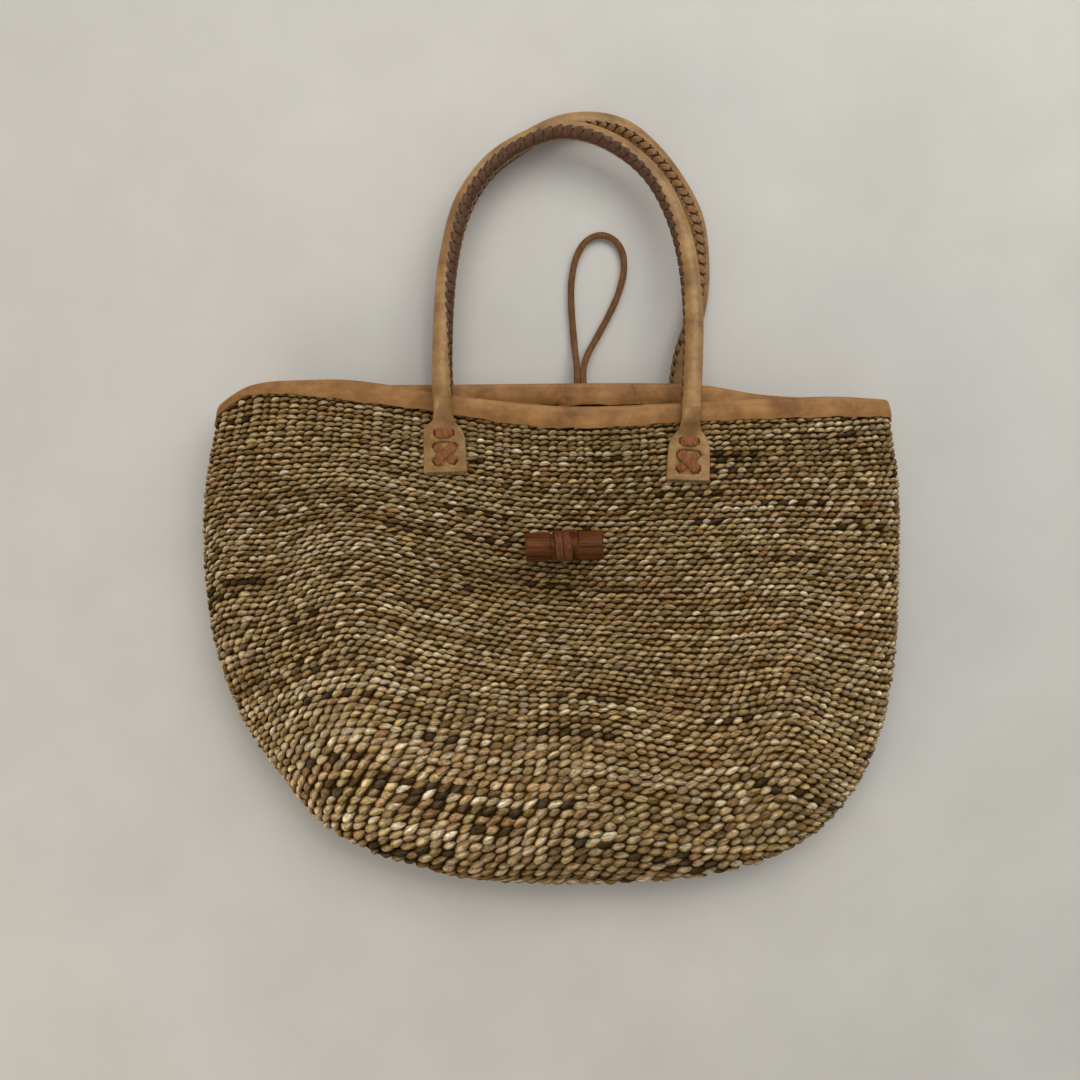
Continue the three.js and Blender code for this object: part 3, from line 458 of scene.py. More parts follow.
def leather(name, pale, middle, deep, roughness=0.5, specular=0.25):
    """Waxed leather: soft blotches, pores, creases, edges worn where wear is stored and a cut edge
    where raw is stored."""
    n = Nodes(name, roughness, specular)
    place = n.attribute("rest")
    blotches = n.noise(place, 0.045, 5.0, 0.65)
    colour = n.ramp(blotches, (0.36, deep), (0.5, middle), (0.64, pale))
    streaks = n.noise(n.stretched(place, (0.35, 1.4, 1.0)), 0.14, 5.0, 0.7)
    colour = n.times(colour, n.ramp(streaks, (0.3, 0.76), (0.7, 1.14)))
    wear = n.attribute("wear", "Fac")
    rough_wear = n.math("MULTIPLY", wear, n.ramp(n.noise(place, 0.5, 3.0), (0.35, 0.15), (0.65, 1.0)))
    colour = n.mix(rough_wear, colour, n.mix(0.75, linear(*pale), linear(*deep)))
    colour = seam_dirt_and_shade(n, colour)
    cut_fibres = n.noise(n.stretched(place, (1.0, 0.2, 0.2)), 1.6, 3.0)
    cut_colour = n.ramp(cut_fibres, (0.35, (70, 55, 34)), (0.65, (134, 112, 80)))
    colour = n.mix(n.attribute("raw", "Fac"), colour, cut_colour)
    pitted = n.bump(n.cells(place, 0.9), 0.12, strength=0.55)
    creased = n.bump(n.noise(n.stretched(place, (1.0, 0.5, 1.0)), 0.45, 5.0, 0.65), 0.35, pitted, 0.6)
    creased = n.bump(n.noise(n.stretched(place, (1.0, 0.35, 1.0)), 0.1, 3.0), 1.6, creased, 0.6)
    spread = n.ramp(n.noise(place, 0.22, 4.0), (0.3, roughness - 0.12), (0.7, roughness + 0.14))
    return n.finish(colour, creased, spread)


def seam_dirt_and_shade(n, colour):
    """Darkens the leather under the lacing with dirt and painted shade between the straps, and paints shade
    in the holes that its straps go into. The seam attribute holds mm along the seam, degrees from it, and
    how far the straps reach."""
    along, away, reach = n.parts(n.attribute("seam"))
    inside = n.math("SUBTRACT", reach, n.math("ABSOLUTE", away))
    # Dirt and painted shade on the leather between the straps
    dirt_and_shade = n.ramp(n.math("DIVIDE", inside, 30.0), (0.0, 0.0), (0.17, 0.92))
    colour = n.mix(dirt_and_shade, colour, linear(66, 44, 27))
    leaning = n.math("MULTIPLY", n.math("DIVIDE", away, n.math("MAXIMUM", reach, 1.0)), strap_slant / 2)
    beat = n.math("MULTIPLY", n.math("SUBTRACT", along, leaning), 2 * math.pi / strap_pitch)
    # Painted shade in the holes at the straps' ends
    near = n.math("SUBTRACT", 1.0, n.math("DIVIDE", n.math("ABSOLUTE", inside), hole_shade_reach))
    hole = n.math("MULTIPLY", n.math("MAXIMUM", near, 0.0), n.math("COSINE", beat))
    hole = n.math("MULTIPLY", hole, n.math("GREATER_THAN", reach, 1.0))
    return n.mix(n.ramp(hole, (0.25, 0.0), (0.5, 0.95)), colour, linear(38, 25, 14))


def thong_leather(name, pale, deep):
    """Dull hand-cut thong, streaked along its length."""
    n = Nodes(name, 0.62)
    place = n.attribute("rest")
    fibres = n.noise(n.stretched(place, (1.0, 0.4, 1.0)), 0.5, 5.0, 0.7)
    colour = n.ramp(fibres, (0.3, deep), (0.7, pale))
    colour = n.times(colour, n.ramp(n.cells(place, 0.8), (0.1, 0.75), (0.6, 1.1)))
    return n.finish(colour, n.bump(fibres, 0.4, strength=0.7))


def fibre(name):
    """Twined fibre: each stitch has its own tint, with fine streaks along its strand, painted shade along
    both its edges and at its tips, most on the edge away from the mouth, and a painted highlight just above
    its middle. The tint's alpha is 1 at a stitch's middle and 0 at its tips."""
    n = Nodes(name, 0.7, 0.1)
    strand = n.attribute("strand")
    tint = n.attribute("tint", "Color")
    streaks = n.noise(n.stretched(strand, (0.2, 0.95, 1.0)), 1.0, 5.0, 0.75)
    shade = n.ramp(streaks, (0.32, 0.5), (0.5, 1.18), (0.66, 1.55))
    folds = n.noise(n.stretched(strand, (0.09, 0.42, 1.0)), 1.0, 2.0)
    shade = n.times(shade, n.ramp(folds, (0.4, 1.1), (0.49, 0.5), (0.53, 0.66), (0.6, 1.12)))
    patches = n.noise(n.stretched(strand, (0.3, 0.6, 1.0)), 0.6, 2.0)
    tone = n.ramp(patches, (0.38, (236, 217, 184)), (0.62, (255, 254, 250)))
    colour = n.times(n.times(tint, shade), tone)
    side = n.math("ADD", 0.5, n.math("DIVIDE", n.parts(strand)["Y"], 2 * strand_half))
    # Painted shade along both edges of a stitch, deepest on the edge away from the mouth, and a painted
    # highlight just above its middle
    crease = n.ramp(side, (0.0, 0.18), (0.3, 0.64), (0.56, 1.2), (0.78, 1.1), (1.0, 0.44))
    # Painted shade at a stitch's tips, where it runs into its neighbours
    tip = n.ramp(n.attribute("tint", "Alpha"), (0.0, 0.18), (0.45, 0.8), (0.9, 1.14))
    colour = n.times(n.times(colour, crease), tip)
    return n.finish(graded_by_brightness(n, colour), n.bump(streaks, 0.6, strength=0.9))


def graded_by_brightness(n, colour):
    """Makes pale fibre greyer and dark fibre warmer, the painted shade of gaps and tips included, and
    leaves the middle tone as it is.
    """
    split = n.node("ShaderNodeSeparateColor", {"Color": colour})
    red = n.math("MULTIPLY", n.math("POWER", split.outputs["Red"], 0.91), 0.855)
    blue = n.math("SUBTRACT", n.math("MULTIPLY", split.outputs["Blue"], 1.39), 0.0135)
    channels = {"Red": red, "Green": split.outputs["Green"], "Blue": n.math("MAXIMUM", blue, 0.003)}
    return n.node("ShaderNodeCombineColor", channels).outputs[0]


def weave_backing_fibre():
    """The weave's inner side, whose rows and stitches are made by waves over the row chart."""
    n = Nodes("weave_backing", 0.85)
    chart = n.attribute("chart")
    row, turn, _ = n.parts(chart)
    rows = n.math("COSINE", n.math("MULTIPLY", row, 2 * math.pi))
    slant = n.math("ADD", turn, n.math("MULTIPLY", row, 0.35))
    stitches = n.math("COSINE", n.math("MULTIPLY", slant, 2 * math.pi))
    height = n.math("MULTIPLY", n.math("ADD", rows, 1.2), n.math("ADD", stitches, 1.6))
    uneven = n.noise(chart, 1.6, 3.0)
    colour = n.ramp(uneven, (0.3, (62, 47, 28)), (0.7, (120, 98, 66)))
    shade = n.ramp(n.math("MULTIPLY", height, 0.18), (0.0, 0.35), (0.7, 1.0))
    return n.finish(n.times(colour, shade), n.bump(height, 0.5))


def plain_dark():
    n = Nodes("gaps", 0.95, 0.0)
    return n.finish(n.ramp(n.noise(n.attribute("rest"), 0.4), (0.3, (52, 31, 9)), (0.7, (86, 58, 23))))


def knife_cut_wood():
    n = Nodes("toggle_wood", 0.5, 0.12)
    place = n.attribute("rest")
    grain = n.noise(n.stretched(place, (0.07, 1.0, 1.0)), 0.55, 6.0, 0.65)
    colour = n.ramp(grain, (0.3, (48, 23, 9)), (0.5, (86, 46, 17)), (0.72, (118, 69, 29)))
    patches = n.noise(n.stretched(place, (0.3, 0.7, 0.7)), 0.12, 3.0)
    colour = n.times(colour, n.ramp(patches, (0.3, 0.72), (0.7, 1.15)))
    return n.finish(colour, n.bump(grain, 0.3, strength=0.6))


def rope_fibre():
    n = Nodes("rope_core", 0.9)
    twist = n.noise(n.stretched(n.attribute("rest"), (1.0, 1.0, 3.0)), 0.9, 3.0)
    colour = n.ramp(twist, (0.3, (112, 92, 62)), (0.7, (184, 162, 124)))
    return n.finish(colour, n.bump(twist, 0.6))


def floor_paint():
    n = Nodes("floor_paint", 0.8)
    uneven = n.noise(n.attribute("rest"), 0.01, 4.0)
    return n.finish(n.ramp(uneven, (0.3, (200, 197, 190)), (0.7, (208, 205, 198))))


rim_leather = leather("rim_leather", (167, 121, 71), (150, 106, 59), (129, 87, 45))
handle_leather = leather("handle_leather", (167, 129, 80), (149, 112, 65), (128, 92, 50), 0.36, 0.34)
thong = thong_leather("thong", (154, 96, 50), (92, 52, 25))
# One lacing thong in two copies: the front handle's is darker, as painted shade and some stain, and the
# back handle's is the lit one.
shaded_lacing = thong_leather("shaded_lacing", (104, 73, 49), (58, 37, 26))
pale_lacing = thong_leather("pale_lacing", (158, 118, 74), (108, 77, 46))
wrap_leather = thong_leather("wrap_thong", (116, 65, 32), (62, 31, 12))
loop_leather = thong_leather("loop_thong", (122, 82, 40), (80, 48, 22))
raffia = fibre("raffia")
backing_fibre = weave_backing_fibre()
gap_shade = plain_dark()
wood = knife_cut_wood()
rope = rope_fibre()

# Weave

# Each row is a closed chain of leaf-shaped stitches round the bag. The chart says where rows run on
# the front: columns of y at an x, for the rows numbered in chart_rows from the binding down.
chart_rows = (0, 20, 40, 55, 65, 72, 75.5)
row_chart = {
    -243: (160, 84.2, -7.0, -106.6, -167.8, -211.3, -236.9),
    -226: (164.4, 91.1, 8.5, -83.0, -144.7, -188.1, -211.3),
    -193: (170.4, 93.2, 15.0, -55.0, -111.7, -158.5, -187.7),
    -138: (165.7, 98.6, 30.8, -37.1, -95.0, -142.9, -169.6),
    -84: (158.9, 89.1, 18.4, -46.7, -104.0, -152.8, -173.9),
    -29: (149.4, 78.9, 6.8, -53.6, -110.3, -157.1, -175.4),
    25: (147.7, 74.8, 1.3, -55.7, -111.7, -157.8, -172.8),
    107: (151.7, 76.2, -3.5, -71.5, -126.3, -168.4, -189.1),
    162: (152.8, 77.5, -0.1, -66.7, -125.6, -174.1, -203.7),
    189: (153.9, 76.2, -6.9, -79.8, -137.4, -185.4, -214.6),
    223: (156.2, 75.1, -14.0, -99.4, -163.4, -208.4, -231.0),
    244: (157.6, 73.7, -18.3, -106.6, -175.0, -222.3, -246.4),
}
first_row = -1  # one row lies under the binding
last_row = 74  # of those on the panels
fold_rows = 2  # more, on each side of the bottom fold
fold_turn = 90 / (fold_rows + 0.5)  # degrees for each row
least_fold_width = 1.2  # of a stitch on the fold; the rows run together at their ends
row_pitch = 3.6  # of the rows under the binding
under_rim = 3.5  # the least from the mouth edge to a row
under_rim_give = 0.2  # of what a row would lie above that
base_row = 72  # from here down, front and back rows lie over each other
line_steps = 260  # points on one side of a row
row_scan = np.linspace(-245, 246, 1500)  # x of the places where the ends of a row are looked for


def row_y(row, x, face):
    known = max(row, 0)
    column = [(at, float(curve_at(list(zip(chart_rows, ys)), known))) for at, ys in row_chart.items()]
    y = curve_at(column, x) + (known - row) * row_pitch
    if face == "back":
        y = y + (rim_over(x, "back") - rim_over(x, "front")) * max(0, 1 - known / base_row)
    beyond = np.maximum(0, y - rim_over(x, face) + under_rim)
    return y - (1 - under_rim_give) * beyond


def row_half(row, face, steps):
    """One row over one panel, from its left to its right end, as points."""
    x = row_scan
    outside = outward_at(x, row_y(row, x, face)) - 1
    middle = int(np.argmin(outside))
    ends = []
    for side in (-1, 1):
        i = middle
        while 0 < i < len(x) - 1 and outside[i] < 0:
            i += side
        share = outside[i] / (outside[i] - outside[i - side]) if outside[i] > 0 else 0
        ends.append(x[i] + (x[i - side] - x[i]) * share)
    turn = np.linspace(0, math.pi, steps)
    x = ends[0] + (ends[1] - ends[0]) * (1 - np.cos(turn)) / 2
    y = row_y(row, x, face)
    outward = np.minimum(outward_at(x, y), 1)
    outward[[0, -1]] = 1
    return panel_point(x, y, outward, face)


def lowest_at(x):
    """Points of the bottom fold over each x."""
    across = np.minimum(np.abs(x - body_centre_x) / by_side(x, 0), 1)
    n = roundness(x)
    y = body_widest_y - (body_widest_y - body_lowest_y) * (1 - across**n) ** (1 / n)
    return np.stack([x, y, fold_z(y)], -1)


def row_loop(row, steps=line_steps):
    """A row as a closed chain of points. Rows past last_row turn round the bottom fold."""
    front = row_half(min(row, last_row), "front", steps)
    rear = row_half(min(row, last_row), "back", steps)
    if row > last_row:
        turn = math.radians((row - last_row) * fold_turn)
        middle, half = (front + rear) / 2, (front - rear) / 2 * math.cos(turn)
        middle = middle + (lowest_at(middle[:, 0]) - middle) * math.sin(turn)
        front, rear = middle + half, middle - half
    return np.vstack([front, rear[-2:0:-1]])


def framed_loop(row, steps=line_steps):
    """A row's points with its frame: along, across towards the mouth, out, and the row's width."""
    here = row_loop(row, steps)
    below = min(row + 0.5, last_row + fold_rows + 0.5)
    down = row_loop(below, steps) - row_loop(row - 0.5, steps)
    along = unit(np.roll(here, -1, 0) - np.roll(here, 1, 0))
    out = unit(np.cross(down, along))
    for _ in range(2):
        out = unit(np.roll(out, 1, 0) + 2 * out + np.roll(out, -1, 0))
    across = np.cross(out, along)
    width = np.abs(np.sum(down * across, -1))
    return here, along, across, out, width


palette = (  # share of the strands, colour
    (0.30, (164, 140, 98)),
    (0.20, (151, 127, 85)),
    (0.15, (134, 110, 72)),
    (0.15, (184, 161, 120)),
    (0.07, (142, 112, 76)),
    (0.07, (116, 96, 67)),
    (0.06, (166, 139, 92)),
)
palette_shares = [share for share, _ in palette]
palette_colours = [linear(*colour)[:3] for _, colour in palette]
tint_stitches = (3, 11)  # of a strand, in one colour
dark_tint = linear(62, 53, 42)[:3]
dark_runs = 1.5  # in each row
dark_stitches = (1, 5)  # in each run
stitch_brightness = (0.68, 1.26)
stitch_hue = (0.97, 1.03)
# Paleness by row: paler lower on the panels, then darker again round the bottom fold, where painted shade
# lies
row_paleness = [(-1, 1.02), (12, 1.03), (20, 1.02), (30, 1.09), (44, 1.16), (54, 1.24), (62, 1.25),
    (70, 1.02), (76, 0.9)]
side_paleness = [(-243, 1.02), (-120, 1.03), (-40, 0.94), (60, 0.94), (130, 1), (244, 1)]
# A painted highlight along a band of rows low on the left
painted_highlight_row = 67
painted_highlight_rows = 5
painted_highlight_gain = 0.45
painted_highlight_to_x = 60
painted_highlight_fade = 140


def strand_tints(count):
    """A colour for each stitch of a row: two strands take turns, each for a stretch of one colour.
    A dark stretch of one strand shows at every other stitch."""
    tints = np.zeros((count, 3))
    for strand in (0, 1):
        own = np.arange(strand, count, 2)
        at = 0
        while at < len(own):
            run = int(draw.integers(*tint_stitches))
            tints[own[at:at + run]] = palette_colours[draw.choice(len(palette), p=palette_shares)]
            at += run
    for _ in range(draw.poisson(dark_runs)):
        at = int(draw.integers(count))
        tints[np.arange(at, at + 2 * int(draw.integers(*dark_stitches)), 2) % count] = dark_tint
    return tints * draw.uniform(*stitch_brightness, (count, 1)) * draw.uniform(*stitch_hue, (count, 3))


def paleness_and_painted_light(row, x):
    """How much paler or darker the fibre is, by row and by x, with painted shade round the bottom fold and
    a painted highlight in a band low on its left.
    """
    band_share = math.exp(-((row - painted_highlight_row) / painted_highlight_rows) ** 2)
    painted_highlight = painted_highlight_gain * band_share * smooth_step((painted_highlight_to_x - x) / painted_highlight_fade)
    return float(curve_at(row_paleness, row)) * curve_at(side_paleness, x) + painted_highlight


weave_bands = 6
upper_stitches = 152  # in each row down to even_rows
even_rows = 44
even_pitch = 6.2  # length of a stitch along its row, just below even_rows
low_pitch = 9.2  # and at the base
breadth_spread = (0.85, 1.18)  # of the lower stitches' pitch
stitch_shift = 0.05  # of its pitch, to both sides
stitch_length = 1.42  # of its pitch
low_stitch_length = 1.25
length_spread = (0.9, 1.1)
stitch_width = 0.96  # of its row
low_widening = 0.1
width_spread = (0.86, 1.2)
stitch_height = 0.72
plump_spread = (0.85, 1.15)
tip_height = 0.3  # of the height at its middle
least_half_height = 0.9
most_half_height = 1.9
stitch_depth = 2.2  # of a tip inside the surface
hidden_depth = 4.0  # the same under the binding
stitch_crown = 1.75  # from a tip's middle to the stitch's
stitch_tilt = 9  # degrees, the right end towards the mouth
low_left_tilt = 27
low_right_tilt = 13
tilt_change_x = 120  # the low tilt changes between this x and minus this x
tilt_spread = 6
stitch_bow = 0.13  # of its pitch, towards the mouth
bow_level = 0.6  # of the bow, which lies on the row's line
rise_range = (0.6, 1.5)  # of the tilt, in narrow and wide rows
widest_stitch = 6.4
stray = 0.28  # across the row
stagger = 0.42  # of a stitch, from one row to the next, lower on the panels
stagger_rows = (-4, 20)  # from none to all of it
stitch_roll = 0.22  # radians about its own length
stitch_shares = np.array([0.0, 0.13, 0.3, 0.5, 0.7, 0.87, 1.0])
stitch_widths = np.array([0.16, 0.72, 1.0, 1.0, 0.84, 0.5, 0.1])
stitch_sides = 6
lap = 8  # points by which a row's line is read past its ends
strand_room = 500  # the noise of each stitch starts within this
warp_widths = draw.uniform(0.82, 1.2, upper_stitches)  # the stitches stand in columns over the warps
warp_middles = (np.cumsum(warp_widths) - warp_widths / 2) / warp_widths.sum()
shell_steps = 90
gaps_depth = 2.1
shell_fold = last_row + np.array([0, 0.8, 1.6, fold_rows + 0.35])
shell_rows = np.concatenate([[-2.6, -1], np.arange(1, last_row, 2.5), shell_fold])


def stitch_middles(row, length, low):
    """Where a row's stitches lie along it, their pitch and how broad each is."""
    count = upper_stitches
    if row > even_rows:
        count = 2 * round(length / (2 * (even_pitch + (low_pitch - even_pitch) * low)))
    pitch = length / count
    if count == upper_stitches:
        breadth = warp_widths
        first, last = stagger_rows
        shift = row % 2 * stagger * smooth_step((row - first) / (last - first))
        middle = warp_middles * length + shift * pitch
    else:
        breadth = draw.uniform(*breadth_spread, count)
        middle = (np.arange(count) + 0.5) * pitch
    return middle + draw.uniform(-stitch_shift, stitch_shift, count) * pitch, pitch, breadth


def row_stitches(row):
    """Points, tints and places on their strands, for the stitches of one row."""
    here, along, across, out, width = framed_loop(row)
    places = distances(np.vstack([here, here[:1]]))
    length = places[-1]
    low = smooth_step((row - even_rows) / (base_row - even_rows))
    middle, pitch, breadth = stitch_middles(row, length, low)
    count = len(middle)
    x = np.interp(middle, places[:-1], here[:, 0])
    to_left = smooth_step((tilt_change_x - x) / (2 * tilt_change_x))
    low_tilt = low_right_tilt + (low_left_tilt - low_right_tilt) * to_left
    tilt = np.radians(stitch_tilt + (low_tilt - stitch_tilt) * low + draw.normal(0, tilt_spread, count))
    long = pitch * (stitch_length + (low_stitch_length - stitch_length) * low)
    long = (long * breadth * draw.uniform(*length_spread, count))[:, None]
    wide = (draw.uniform(*width_spread, count) * (1 + low_widening * low))[:, None]
    tilt = tilt[:, None]
    shift = (stitch_shares - 0.5) * long
    fields = np.concatenate([here, along, across, out, width[:, None]], 1)
    fields = np.vstack([fields[-lap:], fields, fields[:lap]])
    places = np.concatenate([places[-lap - 1:-1] - length, places[:-1], places[:lap] + length])
    read = read_line(middle[:, None] + shift * np.cos(tilt), places, fields)
    along, across, out = (unit(read[..., k:k + 3]) for k in (3, 6, 9))
    width = np.minimum(read[..., 12], widest_stitch)
    crown = np.sin(math.pi * stitch_shares)
    rise = shift * np.sin(tilt) * np.clip(width / row_pitch, *rise_range)
    rise = rise + stitch_bow * pitch * (crown - bow_level) + draw.normal(0, stray, (count, 1))
    plump = draw.uniform(*plump_spread, (count, 1))
    height = stitch_crown * crown * plump - (stitch_depth if row >= 0 else hidden_depth)
    centre = read[..., :3] + across * rise[..., None] + out * height[..., None]
    sideways = np.cos(tilt)[..., None] * across - np.sin(tilt)[..., None] * along
    half_wide = width * stitch_width / 2 * wide * stitch_widths
    half_high = np.clip(width * stitch_height / 2, least_half_height, most_half_height)
    half_high = half_high * plump * (tip_height + (1 - tip_height) * stitch_widths)
    angle = np.arange(stitch_sides) * 2 * math.pi / stitch_sides
    roll = draw.normal(0, stitch_roll, (count, 1, 1))
    flat, high = half_wide[..., None] * np.cos(angle), half_high[..., None] * np.sin(angle)
    over = (flat * np.cos(roll) - high * np.sin(roll))[..., None]
    up = (flat * np.sin(roll) + high * np.cos(roll))[..., None]
    ring = centre[:, :, None] + sideways[:, :, None] * over + out[:, :, None] * up
    strand = [(shift + draw.uniform(0, strand_room, (count, 1)))[..., None], np.cos(angle) * strand_half]
    strand = np.stack(np.broadcast_arrays(*strand, draw.uniform(0, strand_room, (count, 1, 1))), -1)
    tints = strand_tints(count) * paleness_and_painted_light(row, x)[:, None]
    tints = np.broadcast_to(tints[:, None, None], ring.shape)
    # The alpha is the crown, which sets the painted shade at the stitch's tips.
    tints = np.concatenate([tints, np.broadcast_to(crown[:, None, None], ring.shape[:3] + (1,))], -1)
    kept = width.min(axis=1) > (least_fold_width if row > last_row else 0)
    return [values[kept].reshape(-1, values.shape[-1]) for values in (ring, tints, strand)]


def stitch_faces(points):
    """Faces of the stitches whose rings follow each other in points."""
    rings = len(stitch_shares)
    starts = np.arange(0, len(points), rings * stitch_sides)[:, None, None]
    return [(faces + starts).reshape(-1, faces.shape[1]) for faces in ring_faces(rings, stitch_sides)]


def add_weave():
    rows = range(first_row, last_row + fold_rows + 1)
    for i, part in enumerate(np.array_split(rows, weave_bands)):
        points, tints, strands = (np.vstack(values) for values in zip(*map(row_stitches, part)))
        faces = stitch_faces(points)
        piece = mesh_object(f"weave_band_{i + 1}", points, faces, raffia, tint=tints, strand=strands)
        finish_piece(piece, "bag", "raffia", "woven_body")


def add_shell(name, depth, material):
    """A skin that lies depth inside the woven surface, closed along the bottom fold."""
    loops, chart = [], []
    for row in shell_rows:
        here, _, _, out, _ = framed_loop(row, shell_steps)
        loops.append(here - out * depth)
        turn = np.linspace(0, upper_stitches, len(here), endpoint=False)
        chart.append(np.stack([np.full(len(here), row), turn, turn * 0], -1))
    count = len(here)
    last = (len(shell_rows) - 1) * count
    front = last + np.arange(shell_steps - 1)
    mirrored = last + (count - np.arange(shell_steps)) % count
    closing = [np.stack([front, front + 1, mirrored[1:], mirrored[:-1]], -1)]
    faces = ring_faces(len(shell_rows), count, caps=False) + closing
    piece = mesh_object(name, np.vstack(loops), faces, material, chart=np.vstack(chart))
    finish_piece(piece, "bag", "raffia", "woven_body")


# Rim binding, a leather strip folded over the mouth edge

binding_leather = 1.8
binding_height = 15
binding_bend = 2.6
binding_corner = (0.3, 0.7)  # of its low edge, across and up
# How far its front comes down: [share of the half-width, depth]
front_depth = [(-1, 8.5), (-0.86, 8.2), (-0.62, 13.6), (-0.4, 12.4), (-0.08, 15), (0.18, 14),
    (0.4, 13), (0.8, 13.8), (1, 12)]
binding_wear = {0: 0.9, 1: 1, 2: 0.6, 6: 0.3, 7: 0.25, 10: 0.25, 11: 0.3}  # by point of its profile
binding_waves = ((0.35, 47, 1), (0.2, 101, 0))  # of its low edge: reach, rate over the half-width, start
binding_swell = 0.25  # of its middle
binding_swell_wave = (0.15, 63)  # reach, rate
binding_stations = 300  # on each side
seam_top_x = 54
seam_slope = 0.45
seam_depth = 0.9
seam_half = 0.45
seam_zone = np.arange(seam_top_x - 3, seam_top_x + 9, 0.4)  # x of more stations


def binding_ring(signed, face):
    """The strip's cross-section over one place of the mouth edge."""
    out = clearance + binding_leather
    far = -(wall_thickness + out)
    depth = binding_height
    if face == "front":
        depth = float(curve_at(front_depth, signed))
    wave = sum(reach * math.sin(signed * rate + start) for reach, rate, start in binding_waves)
    low = out - depth + wave
    inner_low = out - binding_height - wave
    angles = np.radians((0, 22.5, 45, 67.5, 90))
    bend = np.stack([binding_bend * (1 - np.cos(angles)), out - binding_bend * (1 - np.sin(angles))], -1)
    middle = (out + low) / 2
    reach, rate = binding_swell_wave
    swell = binding_swell + reach * math.sin(signed * rate)
    across, up = binding_corner
    outer = [(out - 1.1, low + 0.1), (out - across, low), (out, low + up), (out + swell, middle)]
    outer += [(out - inset, height) for inset, height in bend]
    inner = [(far + inset, height) for inset, height in bend[::-1]]
    inner += [(far - 0.2, (out + inner_low) / 2), (far, inner_low + up), (far + across, inner_low)]
    inner += [(far + 1.2, inner_low), (far + binding_leather, 0), (-clearance, 0), (clearance, low + 1)]
    profile = np.array(outer + inner)
    y = rim_at(signed, face) + profile[:, 1]
    side_x = body_centre_x + np.sign(signed)
    x = body_centre_x + signed * (half_width(side_x, y) + profile[:, 0])
    return panel_point(x, y, abs(signed), face, profile[:, 0]), profile[:, 0]


def add_binding():
    shares = np.sin(np.linspace(-math.pi / 2, math.pi / 2, binding_stations))
    near_seam = (seam_zone - body_centre_x) / float(half_width(seam_top_x, body_rim_y))
    back_shares = np.sort(np.concatenate([shares[1:-1], near_seam]))[::-1]
    rings = [binding_ring(s, "front")[0] for s in shares]
    rings = np.array(rings + [binding_ring(s, "back")[0] for s in back_shares])
    offsets = binding_ring(0.5, "back")[1]
    # The strip's two ends meet at the back in a slanted seam.
    rear = rings[len(shares):]
    top = rear[..., 1].max(axis=1, keepdims=True)
    away = rear[..., 0] - seam_top_x - seam_slope * (top - rear[..., 1])
    groove = seam_depth * np.exp(-((away / seam_half) ** 2))
    outside = np.where((offsets > clearance) | (offsets < -wall_thickness), np.sign(offsets + 2), 0)
    rear[..., 2] += groove * outside[None]
    piece = loft("rim_binding_leather", rings, rim_leather, 60, close_rows=True)
    wear = np.zeros(rings.shape[:2])
    wear[:, list(binding_wear)] = list(binding_wear.values())
    store(piece.data, "wear", wear)
    finish_piece(piece, "bag", "rim_leather", "rim_binding")


# Tabs and handles, each pair of tabs in one leather with the tube between them

handle_radius = 6.5
tube_radius = 6.3  # of the leather between the swells of its lacing
handle_rest_height = 172
handle_fall = 1.15
arch_steps = 700
arch_smoothing = 300  # rounds
leather_steps = 1600
lacing_thickness = 1.2
lacing_steps = 2400
strap_steps = 13
strap_lift = 0.1
strap_crown = 0.45
strap_dive = 1.3  # into the leather, at both ends
strap_dive_power = 8
strap_narrowing = 0.5
rope_width = 8.4
rope_steps = 220
rope_inset = 6  # steps from each hinge
lacing_room = 1
tab_width = 29.6
tab_height = 35
tab_straight = 24
tab_thickness = 3
tab_neck_gap = 7
tab_drop = 52.4
front_arch = [(-0.005, 0.131), (-0.004, 0.237), (0.002, 0.412), (0.035, 0.608), (0.076, 0.731),
    (0.185, 0.868), (0.328, 0.951), (0.468, 0.993), (0.624, 0.978), (0.756, 0.922), (0.864, 0.841),
    (0.94, 0.726), (0.988, 0.593), (1.01, 0.45), (1.015, 0.309), (1.005, 0.14)]
back_arch = [(-0.009, 0.09), (-0.012, 0.191), (-0.003, 0.342), (0.012, 0.476), (0.061, 0.654),
    (0.163, 0.804), (0.312, 0.901), (0.488, 0.976), (0.63, 0.99), (0.773, 0.962), (0.883, 0.888),
    (0.987, 0.778), (1.067, 0.661), (1.097, 0.503), (1.087, 0.34), (1.046, 0.227), (1.02, 0.155),
    (1.008, 0.069)]
# Where the laced seam runs: share of the handle's length, degrees from the middle of the arch upwards
front_seam = [(0, -30), (0.06, -18), (0.1, 2), (0.15, 26), (0.22, 46), (0.3, 54), (0.4, 60), (0.5, 62),
    (0.6, 48), (0.7, 18), (0.78, -8), (0.86, -30), (1, -35)]
back_seam = [(0, 0), (0.4, 22), (0.5, 40), (0.66, 76), (0.83, 84), (0.92, 28), (1, 5)]
lacing_start = 14  # from the hinge
thong_thickness = 1.7
bar_span = 9.6
bar_y = 28.2
cross_span = (13.4, 11.6)
cross_y = 14.3
cross_reach = math.hypot(*cross_span)
cross_turn = math.degrees(math.atan2(cross_span[1], cross_span[0]))
hole_wide = 4.8
hole_thick = 2.5
hole_sides = 16
hole_ends = (-1.2, tab_thickness + 5)  # of the cutter, from the panel
bar_width, under_width, upper_width = 6.2, 5.8, 6.6
bar_lift, under_lift, upper_lift = 0.4, 0.1, 1.5
strand_dive = 2.5
strand_shoulder = 0.9
strand_flat = 0.45  # of its half length
strand_narrowing = 0.3
narrowing_start, narrowing_run = 0.35, 0.4
strand_steps = 40
tab_places = {
    "front_left": ("front", -72.6, 2.2),
    "front_right": ("front", 91.4, -2),
    "back_left": ("back", -76, 0),
    "back_right": ("back", 88, 0),
}


